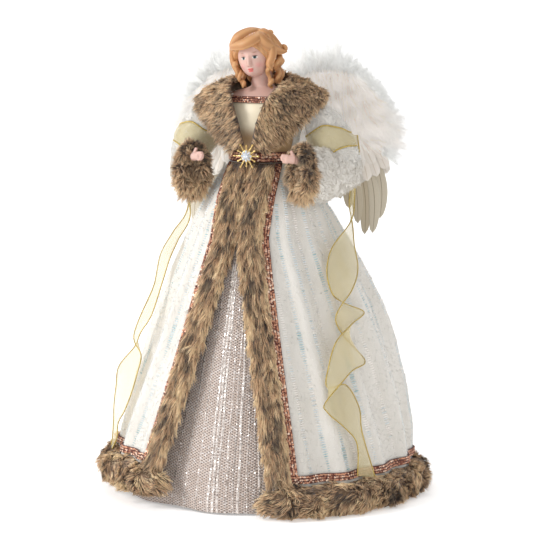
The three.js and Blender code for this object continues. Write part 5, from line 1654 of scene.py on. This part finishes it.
# %% [markdown]
# ## Hands
# A small fist with its thumb up, put together from rounded tubes and then melted into one skin by a voxel
# remesh, as if it had been pulled from one mould.

# %% Hand shapes
def capsule(start, end, start_radius, end_radius, flat=1.0, steps=12, around=12):
    """A tube with round ends between two points, whose radius goes straight from one end's to the other's."""
    start, end = np.array(start, float), np.array(end, float)
    t = np.linspace(0, 1, steps)
    bow = np.sqrt(np.clip(1 - (2 * t - 1) ** 6, 0.0004, 1))
    reach = mix(start, end, (0.5 - 0.5 * np.cos(np.pi * t))[:, None])
    radius = mix(start_radius, end_radius, t) * bow
    lean = np.array([0.02, 0.03, 1.0]) if abs(unit(end - start)[2]) < 0.9 else np.array([1.0, 0.02, 0.03])
    return path_rings(reach, radius, radius * flat, lean, around)


def melted(shown, voxel):
    """The piece's parts made one skin by a voxel remesh, and smoothed."""
    remesh = shown.modifiers.new("melt", "REMESH")
    remesh.mode, remesh.voxel_size, remesh.use_smooth_shade = "VOXEL", voxel, True
    shown.modifiers.new("smooth", "SMOOTH").iterations = 4
    return settled(shown)


# %% Fists
STUB = WRIST + FOREARM * 0.3 + UP * 9
PALM = STUB + FOREARM * 14.5 + UP * 2
INWARD = unit(np.array([-1, -0.35, 0.1]))
FORWARD = unit(np.cross(UP, INWARD))
FORWARD = FORWARD * np.sign(FORWARD[1] * -1)
hand_parts = [
    capsule(STUB, PALM + INWARD * 1.5, 3.3, 3.7, 1.05),
    capsule(PALM - INWARD * 0.5, PALM + INWARD * 8.5, 4.1, 3.6, 0.95),
    capsule(PALM + INWARD * 1 + UP * 2.5, PALM + INWARD * 3.4 + UP * 7.2 - FORWARD * 0.4, 1.7, 1.35),
]
for rise, reach in ((2.7, 11.0), (0.9, 12.0), (-0.9, 11.6), (-2.6, 10.2)):
    knuckle = PALM + INWARD * 5.5 + UP * rise + FORWARD * 1.6
    bend = PALM + INWARD * reach + UP * rise + FORWARD * 1.4
    tip = PALM + INWARD * (reach - 3.2) + UP * (rise - 0.3) - FORWARD * 2.6
    hand_parts += [capsule(knuckle, bend, 1.35, 1.2), capsule(bend, tip, 1.2, 1.0)]
for side, flip in BOTH_SIDES:
    fist = gather_lofts(f"bisque_hand_{side}", [rings * flip for rings in hand_parts])
    melted(fist, 0.42 * MM)
    dress(fist, f"arm_{side}", "bisque", bisque, f"hand_{side}")
print("hand faces:", len(fist.data.polygons))

# %% [markdown]
# ## Wings
# Each wing has a felt backing with rows of flat white feathers laid on it like roof tiles, long quills that
# hang below, and a fluffy edging of marabou down along the top. A feather is a thin leaf with a shaft down
# its middle and fine barbs, which are drawn from its own UV.

# %% Placing a wing
def place_wing(points, flip):
    """From the wing's plane (out, up, towards the front) to its place: stood up, leant back by 8 degrees,
    swept by 12 degrees and moved behind the shoulder."""
    x, up_way, front = points[..., 0], points[..., 1], points[..., 2]
    lean, sweep = math.radians(-8), math.radians(12)
    y = -front * math.cos(lean) - up_way * math.sin(lean)
    z = -front * math.sin(lean) + up_way * math.cos(lean)
    placed = np.stack([x * math.cos(sweep) - y * math.sin(sweep) + 4,
                       x * math.sin(sweep) + y * math.cos(sweep) + 44, z + 300], -1)
    return placed * flip


def feather_grids(root, tip, width, layer, bow, cup, steps=13, across=7):
    """Leaves from root to tip in the wing's plane, one for each row: the half width is the full one times
    s^0.45 (1 - s^5)^0.5, the middle line bows sideways by bow sin(pi s), and the edges cup back by t^2."""
    s, t = np.linspace(0, 1, steps)[:, None], np.linspace(-1, 1, across)
    length = np.linalg.norm(tip - root, axis=1)
    length, width, layer, bow, cup = (a[:, None, None] for a in (length, width, layer, bow, cup))
    way_x, way_y = (unit(tip - root)[:, k, None, None] for k in (0, 1))
    half = width / 2 * np.clip(s, 0.015, 1) ** 0.45 * np.sqrt(np.clip(1 - s ** 5, 0.002, 1))
    off = bow * np.sin(np.pi * s) * length + half * t
    x = root[:, 0, None, None] + way_x * s * length - way_y * off
    y = root[:, 1, None, None] + way_y * s * length + way_x * off
    lift = layer + cup * (np.sin(np.pi * s * 0.8) - t ** 2 * 0.5 * half / 4)
    half_thick = 0.28 * (1 - 0.6 * t ** 2) / 2
    return np.stack([x, y, lift + half_thick], -1), np.stack([x, y, lift - half_thick], -1)


def feather_mesh(name, front, behind, flip, tone):
    """All of a wing's leaves in one mesh, each a closed thin sheet."""
    count, rows, columns = front.shape[:3]
    total = rows * columns
    quads = grid_faces(rows, columns)[0]
    number = np.arange(total).reshape(rows, columns)
    edge = np.concatenate([number[0], number[1:, -1], number[-1, -2::-1], number[-2:0:-1, 0]])
    after = np.roll(edge, -1)
    rim = np.stack([after, edge, edge + total, after + total], -1)
    faces = np.concatenate([quads, quads[:, ::-1] + total, rim])
    along, across = np.meshgrid(np.linspace(0, 1, rows), np.linspace(-1, 1, columns), indexing="ij")
    at_uv = np.stack([across.ravel(), along.ravel()], -1)
    points = np.concatenate([front.reshape(count, total, 3), behind.reshape(count, total, 3)], 1)
    all_faces = (np.arange(count)[:, None, None] * 2 * total + faces).reshape(-1, 4)
    uv = np.tile(at_uv[faces % total], (count, 1, 1))
    marks = {"tone": np.repeat(tone, 2 * total)}
    return put_mesh(name, place_wing(points.reshape(-1, 3), flip), all_faces, quad_uv=uv, marks=marks)


# %% Feather finish
def feather_finish(name, pale, warm, shaft_colour, barb_depth):
    """Barbs and a shaft from the leaf's UV, over a colour that varies from leaf to leaf. The barbs are
    sin(2 pi (13 v - 8 |u| + 1.6 noise)), with u across the leaf and v along it."""
    made, tree, shader = start_finish(name, roughness=0.7, sheen_weight=0.25)
    across, along = parts_of(tree, place_on(tree, "UV"))[:2]
    off = calc(tree, "ABSOLUTE", across)
    slant = calc(tree, "SUBTRACT", calc(tree, "MULTIPLY", along, 13.0), calc(tree, "MULTIPLY", off, 8.0))
    wander = calc(tree, "MULTIPLY", add_grain(tree, 300.0)[1], 1.6)
    barbs = calc(tree, "SINE", calc(tree, "MULTIPLY", calc(tree, "ADD", slant, wander), 2 * math.pi))
    colour = blended(tree, read_mark(tree, "tone"), shade(*pale), shade(*warm))
    darker_by = (barbs, 0.2, 1.0, 0.0, barb_depth), (along, 0.0, 0.5, 0.35, 0.0), (off, 0.03, 0.09, 0.75, 0.0)
    for part in darker_by:
        colour = blended(tree, spread(tree, *part), colour, shade(*shaft_colour))
    feed(tree, shader, colour, barbs, 0.00015, 0.5)
    return made


quill_white = feather_finish("quill_feather", (224, 215, 196), (200, 186, 160), (140, 120, 90), 0.45)
covert_white = feather_finish("covert_feather", (252, 249, 245), (248, 240, 231), (220, 206, 188), 0.3)
# The last number of each down finish is its painted glow, which lifts the shade among the barbs.
marabou_white = hair_finish("marabou_down", (212, 214, 211), (240, 240, 237), (253, 253, 251), 0.8, 0.3, 0.19)
covert_down = hair_finish("covert_down", (218, 207, 194), (243, 236, 228), (255, 251, 247), 0.8, 0.3, 0.24)
print("finishes of feathers and down")

# %% Quills and coverts
SPAN, RISE = 87.0, 59.0
QUILLS = np.array([[.3, .1, .48, -.74], [.38, .12, .58, -.86], [.46, .1, .67, -1.0], [.54, .08, .76, -1.22],
                   [.62, .05, .83, -1.38], [.71, .02, .91, -1.36], [.8, 0, .98, -1.14]])
BACKING = np.array([[0, .7], [.12, .86], [.31, .97], [.5, 1], [.69, .92], [.85, .71], [.96, .44], [1, .12],
                    [.98, -.22], [.92, -.5], [.8, -.62], [.62, -.56], [.42, -.3], [.2, -.16], [0, -.2]])


def inside_backing(x, y, margin):
    """Whether points lie inside the backing's outline: a ray to the right crosses its edges an odd number
    of times. The margin scales the outline about its middle: above 1 it lets points lie further out."""
    edge = (BACKING - [0.5, 0.25]) * margin + [0.5, 0.25]
    after = np.roll(edge, -1, 0)
    straddles = (edge[:, 1] > y[:, None]) != (after[:, 1] > y[:, None])
    rise, run = after[:, 1] - edge[:, 1] + 1e-9, after[:, 0] - edge[:, 0]
    cross = edge[:, 0] + (y[:, None] - edge[:, 1]) / rise * run
    return (straddles & (x[:, None] < cross)).sum(1) % 2 == 1


def tile_feathers(seed, low, high, layer_from, layer_to):
    """Rows of short leaves over the backing. Each row overlaps the one below it, and a leaf points down and
    outwards, more so near the wing's outer edge."""
    pick = np.random.default_rng(seed)
    rows = np.arange(low, high, 0.155)
    x, y = np.meshgrid(np.arange(0.06, 0.99, 0.088), rows)
    x = (x + 0.044 * (np.arange(len(rows)) % 2)[:, None] + pick.normal(0, 0.008, x.shape)).ravel()
    y = (y + pick.normal(0, 0.015, y.shape)).ravel()
    kept = inside_backing(x, y, 0.93)
    x, y = x[kept], y[kept]
    turn = np.radians(-96 + 34 * np.clip(x, 0, 1) ** 1.5 + pick.normal(0, 4, len(x)))
    length = pick.uniform(24, 31, len(x)) * (1 - 0.2 * (y > 0.6))
    root = np.stack([x * SPAN, y * RISE], -1)
    tip = root + np.stack([np.cos(turn), np.sin(turn)], -1) * length[:, None]
    room = inside_backing(tip[:, 0] / SPAN, tip[:, 1] / RISE, 1.12)
    tip = np.where(room[:, None], tip, root + (tip - root) * 0.72)
    layer = mix(layer_from, layer_to, (y - low) / (high - low)) + pick.uniform(-0.25, 0.25, len(x))
    return root, tip, pick.uniform(11.5, 14, len(x)), layer, pick.normal(0, 0.03, len(x)), pick


# %% Feathers in place
TILED = (  # piece, node, seed, lowest and highest row, its distances from the backing, how far leaves cup
    ("wing_covert_leaves", "wing_coverts", 32, -0.095, 0.97, 2.6, 6.4, 1.4),
    ("wing_back_leaves", None, 33, -0.2, 0.95, -1.9, -4.6, -1.2),
)
for side, flip in BOTH_SIDES:
    root, tip = QUILLS[:, :2] * [SPAN, RISE], QUILLS[:, 2:] * [SPAN, RISE]
    count = len(root)
    leaves = feather_grids(root, tip, np.full(count, 13.0), -1.5 + 0.5 * (np.arange(count) % 2),
                           np.linspace(0.03, 0.11, count), np.full(count, 0.5), steps=29, across=11)
    tone = np.random.default_rng(31).uniform(0, 1, count)
    dress(feather_mesh(f"wing_quill_leaves_{side}", *leaves, flip, tone), "root", "feather", quill_white,
          f"wing_quills_{side}")
    for name, node, seed, low, high, layer_from, layer_to, cup in TILED:
        root, tip, width, layer, bow, pick = tile_feathers(seed, low, high, layer_from, layer_to)
        leaves = feather_grids(root, tip, width, layer, bow, np.full(len(root), cup))
        tiles = feather_mesh(f"{name}_{side}", *leaves, flip, pick.uniform(0, 1, len(root)))
        dress(tiles, "root", "feather", covert_white, *([f"{node}_{side}"] if node else []))
print(len(QUILLS), "quills and", len(layer), "leaves behind on each wing")


# %% Marabou edging
def marabou_surface(u, v, fill=0.5):
    """A tube outside the backing's upper edge, whose radius swells and falls along it."""
    knots = np.concatenate([BACKING[1:9] * [SPAN, RISE], np.zeros((8, 1))], 1)
    t = np.clip(u, 0, 1)
    centre = through(knots, t)
    along = unit(through(knots, t + 0.004) - through(knots, t - 0.004))
    away = np.stack([-along[..., 1], along[..., 0], np.zeros_like(t)], -1)
    radius = 8 * (np.sin(np.pi * (0.12 + 0.8 * t)) * 0.35 + 0.75 + 0.07 * np.cos(9 * np.pi * t))
    centre = centre + away * (0.5 * radius)[..., None] + 2.6 * UP
    turn = 2 * np.pi * v[..., None]
    return centre + fill * radius[..., None] * (away * np.cos(turn) + UP * np.sin(turn))


def wing_barbs(name, flip, hairs, length, tone, pick):
    """Barbs in the wing's plane, brought to their place on the doll, with both of their directions."""
    roots, lean, curl = hairs
    start = place_wing(roots, flip)
    lean, curl = place_wing(roots + lean, flip) - start, place_wing(roots + curl, flip) - start
    width = pick.uniform(0.13, 0.22, len(roots))
    return hair_mesh(name, start, lean, curl, length, width, np.clip(tone, 0, 1))


# %% Down of the marabou edging
MARABOU_BARBS = 8600
roots, along_way, over, u, v, pick = scatter(marabou_surface, MARABOU_BARBS, 25)
normal = facing(unit(np.cross(along_way, over)), roots - marabou_surface(u, v, 0.01))
plane_out = unit((roots - np.array([0.45 * SPAN, 0.1 * RISE, 1])) * [1, 1, 0.2])
lean = unit(0.4 * normal + plane_out + 0.3 * drift_vector(roots, 12, 200) + pick.normal(0, 0.2, roots.shape))
curl = 0.22 * drift_vector(roots, 12, 210) + np.array([0.0, -0.12, 0])
length = (7.5 + 10.5 * pick.random(len(roots)) ** 1.5) * (0.85 + 0.3 * drift(roots, 13, 220) ** 2)
curl, tuft_tone = tufted(roots, lean, curl, length, 8, 0.7, 215)
x, y = roots[:, 0] / SPAN, roots[:, 1] / RISE
top = ease(y, 0.7, 0.95) * (1 - ease(x, 0.45, 0.7))
corner = ease(x, 0.55, 0.8) * ease(y, 0.3, 0.6)
LONGER = {"left": 1 + 0.5 * top - 0.5 * corner, "right": 1.05 + 0.3 * top + 0.4 * corner}
core = marabou_surface(*share_grid(60, 14), 0.45)
core = core + drift_vector(core, 8, 230) * 0.8
core_marks = {"tone": np.clip(0.5 + 0.4 * drift(core, 5, 240), 0, 1), "along": np.full(core.shape[:2], 0.6)}
for side, flip in BOTH_SIDES:
    barbs = wing_barbs(f"wing_marabou_barbs_{side}", flip, (roots, lean, curl), length * LONGER[side],
                       0.55 + 0.2 * tuft_tone, pick)
    dress(barbs, "root", "feather", marabou_white, f"wing_marabou_{side}")
    fluff = lofted_mesh(f"wing_marabou_core_{side}", place_wing(core, flip), marks=core_marks)
    dress(fluff, "root", "feather", marabou_white)
print(len(roots), "barbs on each marabou edging")

# %% [markdown]
# Down also lies over the covering feathers: long soft barbs that start all over the wing's front, thickest
# near its outer edge, and stream down and outwards.

# %% Down over the coverts
DOWN_TRIES, DOWN_BARBS = 26000, 6000
pick = np.random.default_rng(41)
x, y = pick.uniform(0.12, 1.05, DOWN_TRIES), pick.uniform(-0.2, 1.05, DOWN_TRIES)
density = 0.3 + 0.7 * np.maximum(ease(x, 0.35, 0.8), ease(y, 0.35, 0.75))
kept = inside_backing(x, y, 1.1) & (y > -0.05) & (pick.random(len(x)) < density)
x, y = x[kept][:DOWN_BARBS], y[kept][:DOWN_BARBS]
roots = np.stack([x * SPAN, y * RISE, pick.uniform(4.5, 8.5, len(x))], -1)
turn = np.radians(-100 + 45 * x + 9 * pick.normal(0, 1, len(x)))
lean = np.stack([np.cos(turn), np.sin(turn), pick.normal(0.12, 0.08, len(x))], -1)
lean = lean + 0.2 * drift_vector(roots, 20, 250)
lean = lean + 0.7 * ease(x, 0.72, 1.0)[:, None] * np.array([1.0, 0.35, 0])
curl = 0.16 * drift_vector(roots, 14, 260)
length = pick.uniform(11, 23, len(roots))
curl, tuft_tone = tufted(roots, lean, curl, length, 7, 0.6, 265)
for side, flip in BOTH_SIDES:
    barbs = wing_barbs(f"wing_down_{side}", flip, (roots, lean, curl), length, 0.55 + 0.22 * tuft_tone, pick)
    dress(barbs, "root", "feather", covert_down)
print(len(roots), "barbs over the coverts of each wing")

# %% [markdown]
# ## Ribbon
# A band of sheer gold organza lies round each upper arm and hangs down beside the skirt, twisted as it
# falls. It has wire in its two edges. The cloth lets most of the light through, and the wires are gold
# tubes.

# %% Organza
organza, tree, shader = start_finish("gold_organza", roughness=0.35, sheen_weight=0.5, sheen_roughness=0.3)
THREAD_PITCH = 0.9
warp, weft = (calc(tree, "SINE", calc(tree, "MULTIPLY", part, 2 * math.pi / THREAD_PITCH))
              for part in parts_of(tree, place_on(tree, "UV"))[:2])
cover = spread(tree, calc(tree, "MAXIMUM", warp, weft), -1.0, 1.0, 0.16, 0.4, smooth=False)
tree.links.new(cover, shader.inputs["Alpha"])
feed(tree, shader, blended(tree, add_grain(tree, 500.0)[0], shade(218, 200, 142), shade(240, 228, 184)))

gold_wire, tree, shader = start_finish("gold_wire", roughness=0.35, metallic=0.6)
height = add_grain(tree, 2500.0)[1]
# The colour runs between a dark and a bright gold by noise: painted glints and shade along the wire.
gleam = blended(tree, spread(tree, height, 0.4, 0.62), shade(148, 120, 44), shade(238, 212, 120))
feed(tree, shader, gleam, height, 0.0004)


def wire_along(name, paths, radius=0.52):
    """Round wires along rows of points."""
    tubes = []
    for path in paths:
        thick = np.full(len(path), radius)
        tubes.append(path_rings(path, thick, thick, np.array([0.13, 0.21, 0.4]), 6))
    return gather_lofts(name, tubes)


# %% Ribbon tails
BY_THE_ARM = (  # where both tails leave the band: the front and the back wired edge
    [[107.7, 308, 35], [107.2, 285, 42], [104.8, 268, 32.8]],
    [[107.7, 308, 53], [105.4, 285, 53.8], [103.2, 268, 37.5]],
)
TAIL_WIRES = {  # on each side the front and the back edge: angle, height and distance out from the robe
    "left": (
        [[102, 244, 17.7], [90, 220.4, 14], [85, 197.2, 12], [75.6, 180.4, 12], [62.1, 167, 14],
         [60.9, 156, 9], [65.8, 141.7, 7], [73.9, 121.2, 9], [60.7, 114.9, 14], [46.6, 94.1, 13],
         [47.1, 84.9, 12], [53.9, 71.4, 12], [58.6, 57.1, 11], [57.4, 30.7, 7]],
        [[101.3, 246, 23], [73.1, 219.8, 12], [60.9, 200.7, 12], [61.8, 179.8, 10], [70.9, 169.8, 7],
         [80.4, 161, 10], [68.6, 153.5, 14], [56.5, 141.5, 14], [50.4, 120.8, 12], [49.6, 104.5, 8],
         [60.1, 104.3, 7], [64.2, 85.5, 9], [62.7, 65.6, 10], [66.3, 27, 6]]),
    "right": (
        [[92, 239.5, 12.4], [86, 220.6, 14.5], [80, 203, 17.5], [76, 183.5, 15.1], [71, 172.4, 15.7],
         [67, 134.6, 20.1], [60, 117.2, 9.6], [57, 100.2, 8.9], [56, 81.3, 9], [58, 63.1, 9.2],
         [66, 47.7, 8.3], [63, 36, 6], [61, 27, 8]],
        [[88, 236.7, 6.5], [78, 215.1, 7.3], [68, 201.1, 10], [64, 182.7, 10.3], [60, 154.2, 11.5],
         [60, 138.6, 16.2], [67, 123.4, 15.8], [74, 101.2, 22.3], [74, 81.3, 19.4], [73, 63.9, 16.4],
         [71, 49.1, 12.6], [70, 34, 9], [69, 26, 8]]),
}


def wire_line(knots, t):
    """A wired edge through knots of angle, height and distance out from the robe."""
    angle, z, out = np.moveaxis(through(knots, t), -1, 0)
    angle = np.radians(angle)
    return skirt_point(angle, z, skirt_radius(z) + train(angle, z) + out)


def tail_grid(side, rows=170, columns=9):
    """The hanging ribbon: cloth drawn straight from one wired edge to the other, which bellies a little. The
    edges leave the band behind the arm, hang past the elbow, and cross and fold over the robe. Returns the
    cloth's points and the direction that it faces."""
    share = np.linspace(0, 1, rows)[:, None]
    t = np.linspace(0, 1, columns)[None, :, None]
    one, other = (wire_line(first + rest, share) for first, rest in zip(BY_THE_ARM, TAIL_WIRES[side]))
    grid = mix(one, other, t)
    down = unit(np.gradient(grid, axis=0))
    face = unit(np.cross(other - one + np.array([1e-3, 0, 0]), down))
    belly = 1.6 * t * (1 - t) * 4 * np.sin(21 * share + 1)[..., None]
    return grid + face * belly, face


HALF_THICK = 0.12
for side, flip in BOTH_SIDES:
    grid, face = tail_grid(side)
    placed = worn(grid, flip)
    tail = sheet_mesh(f"ribbon_tail_organza_{side}", worn(grid + HALF_THICK * face, flip),
                      worn(grid - HALF_THICK * face, flip), *cloth_run(grid))
    wires = wire_along(f"ribbon_tail_wire_{side}", [placed[:, 0], placed[:, -1]])
    for piece, finish in ((tail, organza), (wires, gold_wire)):
        piece.data.materials.append(finish)
        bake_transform(piece)
    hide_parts(f"ribbon_tail_{side}")
print("ribbon tail:", [round(x, 3) for x in sheet_facts(grid)], "m")

# %% Ribbon bands and back strap
across, angle = np.meshgrid(np.linspace(0, 1, 13), np.radians(np.linspace(-250, 55, 81)), indexing="ij")
share = mix(*band_edges(angle), across)
puff = 1.1 * np.sin(np.pi * across) + 0.25 * np.sin(9 * angle + 5 * across)
for side, flip in BOTH_SIDES:
    outer, inner = (upper_sleeve(share, angle, out + puff) * flip for out in (1.35, 1.1))
    band = sheet_mesh(f"ribbon_band_organza_{side}", outer, inner, *cloth_run(outer))
    dress(band, f"arm_{side}", "organza", organza, f"ribbon_band_{side}")
    wires = wire_along(f"ribbon_band_wire_{side}", [outer[0], outer[-1]], 0.65)
    dress(wires, f"arm_{side}", "organza", gold_wire)
strap, grid = torso_sheet("ribbon_strap_organza", 298, 313, 3.5, 3.75,
                          math.radians(100), math.radians(260), rows=9)
dress(strap, "root", "organza", organza, "ribbon_back_strap")
wires = wire_along("ribbon_strap_wire", [grid[0], grid[-1]])
dress(wires, "root", "organza", gold_wire)
print("bands and strap")

# %% [markdown]
# ## Brooch and hidden parts
# The brooch is a pale gold star of tapered rays with a bead at each tip. The parts inside, which show only
# from below or when the cloth lifts, keep the CAD's shapes and get their real finishes: card, foam, steel,
# wood and felt.

# %% Brooch
gold, tree, shader = start_finish("pale_gold", metallic=1.0)
mask, height = add_grain(tree, 1800.0)
tree.links.new(spread(tree, height, 0.3, 0.7, 0.2, 0.42), shader.inputs["Roughness"])
feed(tree, shader, blended(tree, mask, shade(206, 168, 92), shade(244, 220, 160)), height, 0.0002)

crystal, tree, shader = start_finish("crystal_stone", roughness=0.06, coat_weight=1.0)
cells = place_node(tree, "ShaderNodeTexVoronoi", {"Vector": place_on(tree), "Scale": 700.0})
facet = spread(tree, cells.outputs["Distance"], 0.1, 0.7)
feed(tree, shader, blended(tree, facet, shade(250, 250, 252), shade(196, 204, 214)))


def ring_way(count):
    """Even directions round the star's own axis, which points to the front."""
    return np.stack([np.cos(ring_turn(count)), np.zeros(count), np.sin(ring_turn(count))], -1)


low_corner, high_corner = (np.array(c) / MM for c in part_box("brooch_star"))
STAR = (low_corner + high_corner) / 2
RAY_START, RAY_END = 2.5, 10.6
star_parts = []
for k, way in enumerate(ring_way(12)):
    reach = RAY_END * (0.8 if k % 2 else 1.0)
    t = np.linspace(0, 1, 9)
    path = STAR + way * (RAY_START + (reach - RAY_START) * t)[:, None]
    half = 1.15 * (1 - 0.65 * t)
    star_parts.append(path_rings(path, half, half * 0.75, np.array([0, 1.0, 0]), 8))
    bead = STAR + way * reach
    star_parts.append(capsule(bead - way * 0.95, bead + way * 0.95, 0.95, 0.95, around=10))
HUB = ((0.7, 4.6), (0.2, 5.2), (-0.6, 5.0), (-1.0, 4.2), (-0.9, 3.6))
star_parts.append(np.stack([STAR + ring_way(24) * radius + [0, depth, 0] for depth, radius in HUB]))
star = gather_lofts("brooch_star_rays", star_parts)
dress(star, "root", "gold", gold, "brooch_star")

# %% Crystals on the brooch
way = ring_way(8)
gems = disc_mesh("brooch_gems", STAR + way * 3.9 + [0, -1.1, 0], unit(way * 0.4 + [0, -1, 0]),
                 np.full(8, 1.25), np.full(8, 0.5), sides=6, dome=0.9)
dress(gems, "root", "crystal", crystal)
print("brooch of", len(star_parts), "parts with 8 crystals")

# %% Finishes of the hidden parts
EVEN = (1.0, 1.0, 1.0)
HIDDEN_FINISHES = {  # two colours, grain size, bump in metres, stretch of the grain, roughness, metallic
    "card_board": ((150, 122, 86), (196, 166, 124), 500.0, 0.0003, (1.0, 1.0, 0.15), 0.9, 0.0),
    "white_foam": ((222, 218, 206), (240, 238, 230), 1300.0, 0.0008, EVEN, 0.9, 0.0),
    "steel_wire": ((120, 122, 126), (190, 192, 196), 1500.0, 0.0001, EVEN, 0.35, 1.0),
    "turned_wood": ((176, 132, 84), (214, 176, 126), 700.0, 0.0003, (1.0, 1.0, 0.1), 0.65, 0.0),
    "white_felt": ((220, 214, 204), (240, 236, 230), 900.0, 0.0007, EVEN, 0.95, 0.0),
}
HIDDEN_NODES = {
    "card_board": ("support_cone",), "white_foam": ("torso_block",), "turned_wood": ("neck_post",),
    "steel_wire": ("shoulder_wire", "arm_wire_left", "arm_wire_right", "brooch_pin"),
    "white_felt": ("wing_pad", "wing_backing_left", "wing_backing_right"),
}
finish_of = {"brooch_stone": crystal}
for name, (*look, roughness, metallic) in HIDDEN_FINISHES.items():
    finish = grained_finish(name, *look, roughness=roughness, metallic=metallic)
    finish_of.update({node: finish for node in HIDDEN_NODES[name]})
for node, finish in finish_of.items():
    nodes[node].data.materials.clear()
    nodes[node].data.materials.append(finish)
print(len(finish_of), "CAD parts keep their shapes")
